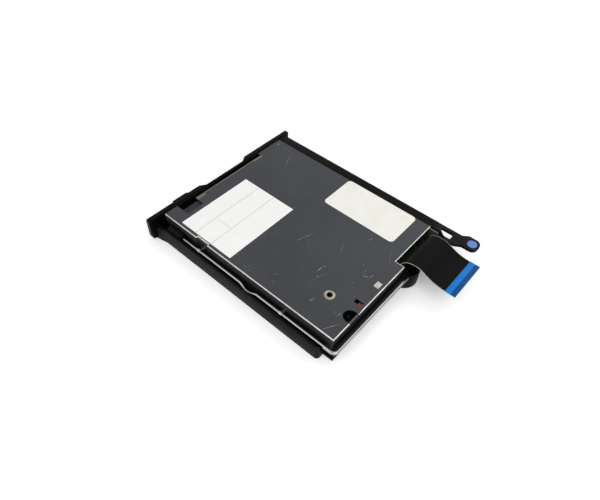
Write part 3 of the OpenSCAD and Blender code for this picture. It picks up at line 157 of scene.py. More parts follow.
@dataclass(frozen=True)
class Finish:
    """One finish: what the eye sees of a material and of how its surface was made.

    Sizes are in millimetres. The base colour drifts towards the second colour in soft patches.
    """

    name: str
    slot: str
    colour: str
    second: str
    roughness: float
    grain: Grain = Grain.MOULDED
    metallic: float = 0.0
    grain_mm: float = 0.35
    relief_mm: float = 0.008
    patch_mm: float = 9.0
    drift: float = 0.5
    rough_drift: float = 0.12
    scratch: float = 0.0
    specular: float = 0.5
    coat: float = 0.0

    def material(self) -> bpy.types.Material:
        """Builds the finish once, and gives the same material each time after."""
        made = bpy.data.materials.get(self.name)
        return made if made else self._build()

    def _build(self) -> bpy.types.Material:
        """Builds the node tree: patches, grain, scratches, then the shader.

        Returns:
            The new material.
        """
        material, tree, shader = opened(bpy.data.materials.new(self.name))
        place = add_node(tree, "ShaderNodeTexCoord").outputs["Object"]
        patches = noise(tree, place, 1 / (self.patch_mm * MM), 4.0, 0.6)
        colour = blend(tree, ramp(tree, patches, 0.35, 0.68, 0.0, self.drift), linear(self.colour),
                       linear(self.second))
        rough = ramp(tree, patches, 0.3, 0.7, self.roughness - self.rough_drift / 2,
                     self.roughness + self.rough_drift / 2)
        if self.scratch:
            colour, rough = self._scratched(tree, place, colour, rough)
        bump = add_node(tree, "ShaderNodeBump", {"Height": self._grain(tree, place), "Strength": 0.5,
                                                 "Distance": self.relief_mm * MM})
        fill(tree, shader, {"Metallic": self.metallic, "Specular IOR Level": self.specular, "Base Color": colour,
                            "Roughness": rough, "Normal": bump.outputs["Normal"]})
        if self.coat:
            fill(tree, shader, {"Coat Weight": self.coat, "Coat Roughness": 0.15})
        return material

    def _grain(self, tree: Tree, place: Socket) -> Socket:
        """Gives the height of the surface's fine texture.

        Args:
            tree: The material's tree.
            place: Object coordinates.

        Returns:
            The socket that holds the height.
        """
        stretch = {Grain.ROLLED: (1.0, 0.06, 1.0), Grain.DRAWN: (1.0, 0.1, 1.0)}.get(self.grain, (1.0, 1.0, 1.0))
        laid = add_node(tree, "ShaderNodeMapping", {"Vector": place, "Scale": stretch}).outputs[0]
        scale = 1 / (self.grain_mm * MM)
        fine = noise(tree, laid, scale, 3.0)
        if self.grain is not Grain.MOULDED:
            return fine
        cells = add_node(tree, "ShaderNodeTexVoronoi", {"Vector": laid, "Scale": scale}, feature="SMOOTH_F1")
        return reckon(tree, "ADD", fine, cells.outputs["Distance"])

    def _scratched(self, tree: Tree, place: Socket, colour: Socket,
                   rough: Socket) -> tuple[Socket, Socket]:
        """Lays faint handling scratches and rubbed patches over the colour and the roughness.

        Args:
            tree: The material's tree.
            place: Object coordinates.
            colour: The colour so far.
            rough: The roughness so far.

        Returns:
            The new colour and roughness.
        """
        lines = None
        for turn, gap in ((1.3, 11.0), (2.0, 16.0)):
            laid = add_node(tree, "ShaderNodeMapping", {"Vector": place, "Rotation": (0.0, 0.0, turn),
                                                        "Scale": (1.0, 22.0, 1.0)}, vector_type="TEXTURE")
            line = ramp(tree, noise(tree, laid.outputs["Vector"], 9 / (gap * MM), 2.0), 0.70, 0.76, 0.0, self.scratch)
            lines = line if lines is None else reckon(tree, "MAXIMUM", lines, line)
        here = ramp(tree, noise(tree, place, 1 / (28 * MM), 1.0), 0.45, 0.62)
        lines = reckon(tree, "MULTIPLY", lines, here)
        worn = blend(tree, lines, colour, linear("#a9abad"))
        return worn, reckon(tree, "SUBTRACT", rough, reckon(tree, "MULTIPLY", lines, 0.2))


class Finishes:
    """The object's finishes, each named for what the real one is."""

    # Injection moulded ABS with a fine spark-eroded grain: nearly black, brownish where light grazes it
    BLACK_ABS = Finish("black moulded ABS", "black_plastic", "#070605", "#0e0c09", 0.46, grain_mm=0.3,
                       relief_mm=0.012, specular=0.06)
    # The same plastic rubbed by the bay's guides and by fingers: smoother and a little lighter
    RUBBED_ABS = Finish("rubbed black ABS", "black_plastic", "#090806", "#15120c", 0.4, relief_mm=0.004,
                        specular=0.09)
    # Cold rolled steel under a dark grey chromate coat: even, satin, with handling scratches
    COATED_STEEL = Finish("dark coated steel sheet", "cover_steel", "#34363a", "#3e4044", 0.42, Grain.COATED,
                          metallic=0.3, grain_mm=0.25, relief_mm=0.003, patch_mm=26, drift=0.6, rough_drift=0.1,
                          scratch=0.24, specular=0.35)
    # The sheet's sheared edge and rubbed rim, where the coat is gone, lightened near to white as a painted highlight;
    # the scratches through the coat take it too
    BARE_STEEL_AND_EDGE_HIGHLIGHT = Finish("bare steel edge and painted highlight", "cover_steel", "#efebe1", "#b9b4a7", 0.32, Grain.ROLLED, metallic=0.4,
                      grain_mm=0.2, relief_mm=0.002, patch_mm=7, drift=0.8)
    # Bare zinc plated steel, dull and warm where it has aged; on the cover's raised tab its light grey is partly a
    # painted highlight
    ZINC_AND_TAB_HIGHLIGHT = Finish("dull zinc and painted tab highlight", "cover_steel", "#b5b2aa", "#77736b", 0.4, Grain.ROLLED, metallic=0.6,
                       grain_mm=0.3, relief_mm=0.004, patch_mm=6)
    # Nearly black: the disk holder and the slide plate, and the base's right and rear outer walls, where the dark is
    # painted shade
    DARK_STEEL_AND_WALL_SHADE = Finish("nearly black steel and painted wall shade", "frame_steel", "#232425", "#2e2f30", 0.5, Grain.ROLLED, metallic=0.3,
                        grain_mm=0.3, relief_mm=0.004, patch_mm=8, specular=0.25)
    # The base's inside, the shutter lever, bracket, rod clamps, stepper and head arm
    FRAME_STEEL = Finish("galvanised steel sheet", "frame_steel", "#4f4f4d", "#5f5e5b", 0.45, Grain.ROLLED,
                         metallic=0.6, grain_mm=0.3, relief_mm=0.004, patch_mm=12)
    # Turned or stamped steel inside the drive
    TURNED_STEEL = Finish("turned bright steel", "frame_steel", "#b7b9bb", "#9da0a3", 0.26, Grain.DRAWN, metallic=0.95,
                          grain_mm=0.15, relief_mm=0.002, patch_mm=8)
    # Hard drawn stainless spring wire, bright, with drawing lines along it
    SPRING_WIRE = Finish("drawn stainless wire", "wire_steel", "#a2a2a8", "#77777d", 0.2, Grain.DRAWN, metallic=1.0,
                         grain_mm=0.12, relief_mm=0.0015, patch_mm=14, drift=0.4, rough_drift=0.06)
    # Nickel plated brass rivet, bright with soft smears
    NICKEL = Finish("nickel plated rivet", "wire_steel", "#a39d92", "#5f574b", 0.3, Grain.DRAWN, metallic=1.0,
                    grain_mm=0.1, relief_mm=0.001, patch_mm=2.5)
    WHITE_LABEL = Finish("white polyester label", "paper_white", "#f7f7f5", "#eeeeeb", 0.38, Grain.COATED,
                         grain_mm=0.6, relief_mm=0.002, patch_mm=11)
    CREAM_LABEL = Finish("cream coated paper label", "paper_cream", "#f3f2ea", "#e8e7dd", 0.52, Grain.COATED,
                         grain_mm=0.4, relief_mm=0.004, patch_mm=8, drift=0.6)
    # Black polyimide film over copper strips: smooth, with faint ridges along the strips
    CABLE_FILM = Finish("black polyimide film", "cable_film", "#020202", "#070606", 0.44, Grain.COATED,
                        grain_mm=0.8, relief_mm=0.003, patch_mm=7, specular=0.06)
    # The film's cut edge, where the light glue layer shows
    CABLE_EDGE = Finish("cut film edge", "cable_film", "#b9b5aa", "#6e6a62", 0.4, Grain.COATED, patch_mm=5)
    BLUE_FILM = Finish("bright blue polyester stiffener", "blue_film", "#0078d0", "#006cc0", 0.42, Grain.COATED,
                       grain_mm=0.7, relief_mm=0.002, patch_mm=5, specular=0.2)
    # The stiffener's printed outer half
    BLUE_DARK = Finish("dark blue printed stiffener", "blue_film", "#03589c", "#034a86", 0.42, Grain.COATED, patch_mm=2,
                       specular=0.15)
    # The bars printed on it, darker still
    BLUE_BARS = Finish("navy printed bars", "blue_film", "#02335c", "#032a4b", 0.45, Grain.COATED, patch_mm=2,
                       specular=0.15)
    TOUCH_BLUE = Finish("blue moulded touch point", "touch_plastic", "#6182d0", "#5676c2", 0.55, grain_mm=0.4,
                        relief_mm=0.01, patch_mm=3, drift=0.6)
    TINNED = Finish("tinned copper", "contact_metal", "#c9cbcc", "#aaacae", 0.25, Grain.ROLLED, metallic=1.0,
                    grain_mm=0.15, relief_mm=0.001, patch_mm=3)
    # Moulding of the cable's socket and of the sensor switches
    NYLON = Finish("dark brown glass filled nylon", "black_plastic", "#1a1612", "#241e18", 0.5, patch_mm=4,
                   specular=0.3)
    # Grey ink of the label's rules
    LABEL_INK = Finish("grey label ink", "paper_white", "#77777a", "#8b8b8e", 0.5, Grain.COATED, patch_mm=1.5)
    # Bare metal that shows warm and dull where the coat has rubbed off the front edge
    RUBBED_COAT = Finish("rubbed edge of the coat", "cover_steel", "#6d675d", "#5a554c", 0.5, Grain.ROLLED,
                         metallic=0.3, grain_mm=0.3, relief_mm=0.004, patch_mm=3)
    ACETAL = Finish("white acetal", "white_plastic", "#e6e2d8", "#d9d4c8", 0.4, relief_mm=0.004, patch_mm=6)
    # The head carriage and the screw's front bearing
    TAN_ACETAL = Finish("tan acetal", "cream_plastic", "#cdb98e", "#b9a57a", 0.42, relief_mm=0.004, patch_mm=4)
    # Clear green lens of the lamp
    GREEN_LENS = Finish("green acrylic lens", "clear_plastic", "#5f9a2e", "#78b541", 0.15, Grain.COATED,
                        relief_mm=0.001, patch_mm=3, coat=0.4)
    # Bodies of the chips
    EPOXY = Finish("black moulded epoxy", "chip_black", "#1d1e20", "#26272a", 0.55, grain_mm=0.12, relief_mm=0.006)
    # Small ceramic and tantalum parts, their tan darkened nearly to brown-black as painted shade
    CERAMIC_IN_PAINTED_SHADE = Finish("tan ceramic", "part_tan", "#3d2d1d", "#553f28", 0.45, Grain.COATED, patch_mm=1.5)
    # Amber polyimide of the head's flat cable
    AMBER_FILM = Finish("amber polyimide film", "part_tan", "#943f0e", "#7a330a", 0.4, Grain.COATED, patch_mm=3,
                        specular=0.25)
    COPPER = Finish("enamelled copper wire", "coil_copper", "#a4562b", "#c0703c", 0.3, Grain.DRAWN, metallic=0.9,
                    grain_mm=0.1, relief_mm=0.002, patch_mm=3)
    # Turned brass of the hub and the bearing
    BRASS = Finish("turned brass", "hub_brass", "#b89a5c", "#a4874c", 0.28, Grain.DRAWN, metallic=0.95,
                   grain_mm=0.12, relief_mm=0.002, patch_mm=5)
    FERRITE = Finish("bonded ferrite", "magnet_dark", "#2b2c2f", "#34353a", 0.6, grain_mm=0.2, patch_mm=3)
    # Polished ferrite and ceramic of the heads
    HEAD_CERAMIC = Finish("polished head ceramic", "head_dark", "#34302b", "#473f36", 0.2, Grain.COATED, patch_mm=1)


@dataclass(frozen=True)
class BoardLacquer(Finish):
    """Green solder resist over copper tracks, which show as lighter lines and raise it a little."""

    track_mm: float = 1.1

    def _grain(self, tree: Tree, place: Socket) -> Socket:
        """Gives the height of the tracks: fine runs that step sideways.

        Args:
            tree: The material's tree.
            place: Object coordinates.

        Returns:
            The socket that holds the height.
        """
        laid = add_node(tree, "ShaderNodeMapping", {"Vector": place, "Rotation": (0.0, 0.0, math.pi / 4)})
        steps = add_node(tree, "ShaderNodeTexVoronoi", {"Vector": laid.outputs["Vector"],
                                                        "Scale": 1 / (6 * self.track_mm * MM)}, distance="CHEBYCHEV")
        return ramp(tree, reckon(tree, "SINE", reckon(tree, "MULTIPLY", steps.outputs["Distance"], 40.0)), 0.2, 0.4)


# Epoxy glass board under green solder resist, its green darkened nearly to black as painted shade
BOARD_IN_PAINTED_SHADE = BoardLacquer("green solder resist", "board_green", "#0b1d12", "#112717", 0.4, specular=0.2, relief_mm=0.03,
                     patch_mm=8)


def place(name: str, mesh: Mesh, finishes: Sequence[Finish], nodes: Iterable[str] = (),
          body: str = "casing") -> bpy.types.Object:
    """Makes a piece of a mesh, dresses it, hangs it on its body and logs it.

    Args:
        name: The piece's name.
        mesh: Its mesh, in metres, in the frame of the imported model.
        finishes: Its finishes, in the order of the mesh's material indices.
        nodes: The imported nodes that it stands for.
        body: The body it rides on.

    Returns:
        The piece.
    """
    if not mesh.materials:
        for finish in finishes:
            mesh.materials.append(finish.material())
    piece = stand(name, mesh)
    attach(piece, body)
    if nodes:
        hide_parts(*nodes)
    log.info("%s on %s, %d faces", name, body, len(mesh.polygons))
    return piece


def from_cad(node: str) -> Work:
    """Gives a joined-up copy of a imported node's mesh, with flat faces whole again.

    Args:
        node: The node's name.

    Returns:
        The copy, which the caller frees.
    """
    work = bmesh.new()
    work.from_mesh(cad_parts[node].data)
    bmesh.ops.remove_doubles(work, verts=work.verts, dist=0.002 * MM)
    bmesh.ops.dissolve_limit(work, angle_limit=math.radians(0.6), verts=work.verts, edges=work.edges)
    return work


def sharp_edges(work: Work, degrees: float, test: Callable[[Any], bool] | None = None) -> list[Any]:
    """Lists the outward edges of a mesh that turn more than an angle.

    Args:
        work: The mesh.
        degrees: The least turn.
        test: Keeps only the edges that it accepts.

    Returns:
        The edges.
    """
    return [e for e in work.edges if len(e.link_faces) == 2 and e.calc_face_angle(0.0) > math.radians(degrees)
            and (test is None or test(e))]


def rounded(node: str, size: float, steps: int = 2, rim: int = 0,
            test: Callable[[Any], bool] | None = None) -> Mesh:
    """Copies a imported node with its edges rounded.

    Args:
        node: The node's name.
        size: The rounding's width in millimetres.
        steps: Its number of facets.
        rim: The material index of the rounding's faces.
        test: Keeps only the edges that it accepts.

    Returns:
        The new mesh.
    """
    work = from_cad(node)
    made = bmesh.ops.bevel(work, geom=sharp_edges(work, 40.0, test), offset=size * MM, offset_type="OFFSET",
                           segments=steps, profile=0.6, affect="EDGES", clamp_overlap=True, material=rim,
                           loop_slide=True)
    return finished(work, made["faces"])


def finished(work: Work, rims: Iterable[Any] = ()) -> Mesh:
    """Turns a working mesh into a plain one, and frees it.

    Args:
        work: The working mesh.
        rims: The faces of its rounded edges, which are shaded apart from the flats beside them.

    Returns:
        The new mesh, shaded smooth but for its sharp edges.
    """
    rim = set(rims)
    for face in work.faces:
        face.smooth = True
    for edge in work.edges:
        sides = [face in rim for face in edge.link_faces]
        edge.smooth = edge.calc_face_angle(0.0) < math.radians(38.0) and not (rim and any(sides) and not all(sides)
                                                                              and edge.calc_face_angle(0.0) > 0.1)
    mesh = bpy.data.meshes.new("piece")
    work.to_mesh(mesh)
    work.free()
    return mesh


def lathe(profile: Sequence[Pair], centre: Point, steps: int = 48) -> Mesh:
    """Turns a closed profile about an upright axis.

    Args:
        profile: Points of radius and height in millimetres, anticlockwise, the last joined to the first.
        centre: The foot of the axis in millimetres.
        steps: The number of facets round the axis.

    Returns:
        The new mesh.
    """
    work = bmesh.new()
    rings = []
    for i in range(steps):
        turn = 2 * math.pi * i / steps
        rings.append([work.verts.new(((centre[0] + r * math.cos(turn)) * MM, (centre[1] + r * math.sin(turn)) * MM,
                                      (centre[2] + z) * MM)) for r, z in profile])
    for i, ring in enumerate(rings):
        after = rings[(i + 1) % steps]
        for j in range(len(profile)):
            k = (j + 1) % len(profile)
            work.faces.new((ring[j], after[j], after[k], ring[k]))
    bmesh.ops.recalc_face_normals(work, faces=work.faces)
    return finished(work)


def skinned(work: Work, rows: Sequence[Sequence[Any]], indices: Sequence[int]) -> Mesh:
    """Closes rows of vertices into a skin with two end faces, and frees the working mesh.

    Args:
        work: The working mesh.
        rows: Its vertices, row by row, each row round the bar.
        indices: The material index of each strip along the bar.

    Returns:
        The new mesh.
    """
    for first, second in zip(rows, rows[1:]):
        for k, index in enumerate(indices):
            n = (k + 1) % len(indices)
            work.faces.new((first[k], first[n], second[n], second[k])).material_index = index
    work.faces.new(list(reversed(rows[0])))
    work.faces.new(rows[-1])
    bmesh.ops.recalc_face_normals(work, faces=work.faces)
    return finished(work)


def swept(path: Sequence[Vector], radius: float, sides: int = 20) -> Mesh:
    """Sweeps a round bar along a path, with rounded ends.

    Args:
        path: The path's points in millimetres.
        radius: The bar's radius in millimetres.
        sides: The number of facets round the bar.

    Returns:
        The new mesh.
    """
    work = bmesh.new()
    aim = (path[1] - path[0]).normalized()
    side = aim.orthogonal().normalized()
    # How far in from the end, in 0.6 radii, and how much of the radius the bar has there
    rings, tips = [], [(0.0, 0.35), (0.35, 0.8)]
    stations = [(path[0] + aim * radius * along * 0.6, share) for along, share in tips]
    stations += [(point, 1.0) for point in path[1:-1]]
    back = (path[-2] - path[-1]).normalized()
    stations += [(path[-1] + back * radius * along * 0.6, share) for along, share in reversed(tips)]
    for i, (point, share) in enumerate(stations):
        before, after = stations[max(0, i - 1)][0], stations[min(len(stations) - 1, i + 1)][0]
        aim = (after - before).normalized()
        side = (side - aim * side.dot(aim)).normalized()
        up = aim.cross(side)
        rings.append([work.verts.new((point + (side * math.cos(a) + up * math.sin(a)) * radius * share) * MM)
                      for a in (2 * math.pi * k / sides for k in range(sides))])
    return skinned(work, rings, [0] * sides)


def merged(meshes: Iterable[Mesh]) -> Mesh:
    """Joins meshes into one.

    Args:
        meshes: The meshes, which are removed.

    Returns:
        The new mesh.
    """
    work = bmesh.new()
    for mesh in meshes:
        work.from_mesh(mesh)
        bpy.data.meshes.remove(mesh)
    return finished(work)


def walled(work: Work, foot: Sequence[Any], head: Sequence[Any]) -> Any:
    """Closes two like outlines of vertices into a solid, and gives the head's face."""
    work.faces.new(list(reversed(foot)))
    top = work.faces.new(head)
    for i in range(len(foot)):
        j = (i + 1) % len(foot)
        work.faces.new((foot[i], foot[j], head[j], head[i]))
    return top


def slab(outline: Sequence[Pair], low: float, high: float, rim_mm: float = 0.0) -> Mesh:
    """Makes a flat plate of an outline.

    Args:
        outline: Points of X and Y in millimetres, anticlockwise from above.
        low: The underside's height in millimetres.
        high: The top's height in millimetres.
        rim_mm: The width of the top edge's rounding.

    Returns:
        The new mesh.
    """
    work = bmesh.new()
    foot, head = [[work.verts.new((x * MM, y * MM, z * MM)) for x, y in outline] for z in (low, high)]
    top = walled(work, foot, head)
    if rim_mm:
        bmesh.ops.bevel(work, geom=list(top.edges), offset=rim_mm * MM, segments=2, profile=0.6, affect="EDGES",
                        clamp_overlap=True)
    return finished(work)


def box(low: Point, high: Point, rim_mm: float = 0.0) -> Mesh:
    """Makes a cuboid between two corners in millimetres, its top edges rounded by rim_mm."""
    return slab([(low[0], low[1]), (high[0], low[1]), (high[0], high[1]), (low[0], high[1])], low[2], high[2], rim_mm)


def carry(finish: Finish, *nodes: str) -> None:
    """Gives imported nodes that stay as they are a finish.

    Args:
        finish: The finish.
        nodes: The nodes' names.
    """
    for node in nodes:
        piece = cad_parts[node]
        if not piece.material_slots:
            piece.data.materials.append(None)
        for holder in piece.material_slots:
            holder.material = finish.material()
        log.info("%s carries %s", node, finish.name)


def dress(name: str, node: str, size: float, finish: Finish, body: str = "casing", steps: int = 2) -> None:
    """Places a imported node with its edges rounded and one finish.

    Args:
        name: The piece's name.
        node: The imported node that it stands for.
        size: The rounding's width in millimetres.
        finish: The finish.
        body: The body it rides on.
        steps: The rounding's number of facets.
    """
    place(name, rounded(node, size, steps), [finish], [node], body)


def grow(tree: Tree, kind: str, inputs: dict[Any, Any] | None = None, **settings: Any) -> Socket:
    """Adds one geometry node, named without its prefix, and gives its first output."""
    return add_node(tree, f"GeometryNode{kind}", inputs, **settings).outputs[0]


def joined(tree: Tree, **parts: Socket) -> Socket:
    """Gives a vector of the named parts, X, Y or Z, with zero for the rest."""
    return add_node(tree, "ShaderNodeCombineXYZ", parts).outputs[0]


class Grown:
    """Geometry node trees for what repeats, each built once."""

    _trees: dict[str, Tree] = {}

    @classmethod
    def tree(cls, name: str, **kinds: str) -> tuple[Tree, Any]:
        """Opens a tree with named inputs.

        Args:
            name: The tree's name.
            kinds: The input names of each socket type, parted by spaces.

        Returns:
            The tree, and its input sockets, or None where it is built already.
        """
        if name in cls._trees:
            return cls._trees[name], None
        tree = bpy.data.node_groups.new(name, "GeometryNodeTree")
        tree.interface.new_socket("Geometry", in_out="OUTPUT", socket_type="NodeSocketGeometry")
        for kind, labels in {**kinds, "Material": "Finish"}.items():
            for label in labels.split():
                tree.interface.new_socket(label, in_out="INPUT", socket_type=f"NodeSocket{kind}")
        cls._trees[name] = tree
        return tree, add_node(tree, "NodeGroupInput").outputs

    @staticmethod
    def close(tree: Tree, given: Any, shape: Socket, soft: bool) -> None:
        """Ends a tree: real geometry, shading and finish.

        Args:
            tree: The tree.
            given: Its input sockets.
            shape: The geometry so far.
            soft: True to shade smooth.
        """
        real = grow(tree, "RealizeInstances", {"Geometry": shape})
        shaded = grow(tree, "SetShadeSmooth", {"Geometry": real, "Shade Smooth": soft})
        dressed = grow(tree, "SetMaterial", {"Geometry": shaded, "Material": given["Finish"]})
        add_node(tree, "NodeGroupOutput", {"Geometry": dressed})

    @classmethod
    def coil(cls) -> Tree:
        """Builds the tree of a coil spring that stands along Z from the origin."""
        tree, given = cls.tree("coil_spring", Float="Radius Wire Length Turns")
        if given:
            line = grow(tree, "CurveSpiral", {"Resolution": 16, "Rotations": given["Turns"],
                                              "Start Radius": given["Radius"], "End Radius": given["Radius"],
                                              "Height": given["Length"]})
            ring = grow(tree, "CurvePrimitiveCircle", {"Resolution": 8, "Radius": given["Wire"]})
            wire = grow(tree, "CurveToMesh", {"Curve": line, "Fill Caps": True, "Profile Curve": ring})
            cls.close(tree, given, wire, True)
        return tree

    @classmethod
    def row(cls) -> Tree:
        """Builds the tree of a row of like bars, each a block with its long edges cut, along X from the origin."""
        tree, given = cls.tree("bar_row", Int="Count", Float="Pitch", Vector="Size")
        if given:
            line = grow(tree, "MeshLine", {"Count": given["Count"], "Offset": joined(tree, X=given["Pitch"])})
            bar = grow(tree, "MeshCube", {"Size": given["Size"], "Vertices Y": 4})
            at, size = [add_node(tree, "ShaderNodeSeparateXYZ", {0: vector}).outputs["Y"]
                        for vector in (grow(tree, "InputPosition"), given["Size"])]
            outer = add_node(tree, "FunctionNodeCompare", {0: reckon(tree, "ABSOLUTE", at),
                                                           1: reckon(tree, "MULTIPLY", size, 0.4)},
                             operation="GREATER_THAN", data_type="FLOAT").outputs[0]
            slim = grow(tree, "ScaleElements", {"Geometry": bar, "Selection": outer, "Scale": 0.8})
            cls.close(tree, given, grow(tree, "InstanceOnPoints", {"Points": line, "Instance": slim}), False)
        return tree

    @classmethod
    def winding(cls) -> Tree:
        """Builds the tree of a motor's windings: loops of wire round each pole, out from the origin."""
        tree, given = cls.tree("pole_windings", Int="Poles Loops", Float="Start Pitch Width Height Wire")
        if given:
            loop = grow(tree, "CurvePrimitiveQuadrilateral", {"Width": given["Width"], "Height": given["Height"]})
            corner = grow(tree, "FilletCurve", {"Curve": loop, "Radius": 0.35 * MM, "Count": 2}, mode="POLY")
            ring = grow(tree, "CurvePrimitiveCircle", {"Resolution": 6, "Radius": given["Wire"]})
            wire = grow(tree, "CurveToMesh", {"Curve": corner, "Profile Curve": ring})
            stood = grow(tree, "Transform", {"Geometry": wire, "Rotation": (math.pi / 2, 0.0, math.pi / 2)})
            line = grow(tree, "MeshLine", {"Count": given["Loops"], "Start Location": joined(tree, X=given["Start"]),
                                           "Offset": joined(tree, X=given["Pitch"])})
            coil = grow(tree, "InstanceOnPoints", {"Points": line, "Instance": stood})
            spots = grow(tree, "MeshLine", {"Count": given["Poles"], "Offset": (0.0, 0.0, 0.0)})
            share = reckon(tree, "DIVIDE", grow(tree, "InputIndex"), given["Poles"])
            about = joined(tree, Z=reckon(tree, "MULTIPLY", share, 2 * math.pi))
            star = grow(tree, "InstanceOnPoints", {"Points": spots, "Instance": coil, "Rotation": about})
            cls.close(tree, given, star, True)
        return tree

    @staticmethod
    def mesh(tree: Tree, values: dict[str, Any], finish: Finish, where: Matrix) -> Mesh:
        """Runs a tree and keeps what it makes as a plain mesh.

        Args:
            tree: The tree.
            values: Its inputs by name.
            finish: Its finish.
            where: The place of the result, in metres.

        Returns:
            The new mesh.
        """
        seed = stand("seed", bpy.data.meshes.new("seed"))
        modifier = seed.modifiers.new("grow", "NODES")
        modifier.node_group = tree
        for item in tree.interface.items_tree:
            if item.in_out == "INPUT":
                modifier[item.identifier] = finish.material() if item.name == "Finish" else values[item.name]
        mesh = bpy.data.meshes.new_from_object(seed.evaluated_get(bpy.context.evaluated_depsgraph_get()))
        bpy.data.objects.remove(seed)
        mesh.transform(where)
        return mesh


@dataclass
class Tray:
    """The black moulded bay tray, its bezel, the wire along its side and the pins that hold the drive."""

    rim_mm: float = 0.35
    wire_mm: float = 1.0
    wire_x: float = 50.4
    wire_z: float = 8.2
    wire_start: float = -53.65
    wire_rear: float = 64.95
    wire_end: float = -16.0
    bend: float = 2.6
    kink_y: float = 7.35
    kink_half: float = 6.0
    kink_depth: float = 1.15
    rib_count: int = 5
    gusset: tuple[Pair, ...] = ((-52.5, 57.7), (-47.95, 57.7), (-47.95, 63.65), (-50.4, 63.65), (-52.5, 61.2))
    gusset_top: float = 9.0

    def build(self) -> None:
        """Builds every piece of the tray."""
        moulding = merged([rounded("tray", self.rim_mm, test=self._reachable),
                           slab(self.gusset, 0.0, self.gusset_top, self.rim_mm)])
        place("tray_moulding", moulding, [Finishes.BLACK_ABS], ["tray"])
        dress("bezel_moulding", "front_bezel", 0.45, Finishes.BLACK_ABS)
        place("clip_moulding", merged([rounded("wire_clip", 0.3), self._clip_ribs()]), [Finishes.RUBBED_ABS],
              ["wire_clip"])
        dress("pin_pair", "retaining_pins", 0.25, Finishes.SPRING_WIRE)
        place("spring_wire", swept(self.wire_route(), self.wire_mm), [Finishes.SPRING_WIRE], ["retaining_wire"])

    def _reachable(self, edge: Any) -> bool:
        """Keeps short edges sharp, so that fine detail isn't closed up."""
        return edge.calc_length() > 1.5 * self.rim_mm * MM

    def _clip_ribs(self) -> Mesh:
        """Grows the grip ribs on the clip's top."""
        low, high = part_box("wire_clip")
        size = Vector((0.5 * MM, (high[0] - low[0]) * 0.9, 0.24 * MM))
        pitch = (high[1] - low[1]) / self.rib_count
        turn = Matrix.Rotation(math.pi / 2, 4, "Z")
        spot = Vector(((low[0] + high[0]) / 2, low[1] + pitch / 2, high[2] - 0.13 * MM))
        return Grown.mesh(Grown.row(), {"Count": self.rib_count, "Pitch": pitch, "Size": size},
                          Finishes.RUBBED_ABS, Matrix.Translation(spot) @ turn)

    def wire_route(self) -> list[Vector]:
        """Gives the wire's middle line: along the side with its V kink, then round the corner to the rear.

        Returns:
            The points in millimetres.
        """
        x, z = self.wire_x, self.wire_z
        points = [(x, self.wire_start, z), (x, -30.0, z)]
        steps = 14
        for i in range(steps + 1):
            along = i / steps
            share = math.sin(math.pi * along) ** 1.3
            points.append((x + share * self.kink_depth, self.kink_y + (2 * along - 1) * self.kink_half,
                           z - share * self.kink_depth))
        points.append((x, 40.0, z))
        for i in range(13):
            turn = math.pi / 2 * i / 12
            points.append((x - self.bend + self.bend * math.cos(turn),
                           self.wire_rear - self.bend + self.bend * math.sin(turn), z))
        return [Vector(p) for p in (*points, (20.0, self.wire_rear, z), (self.wire_end, self.wire_rear, z))]


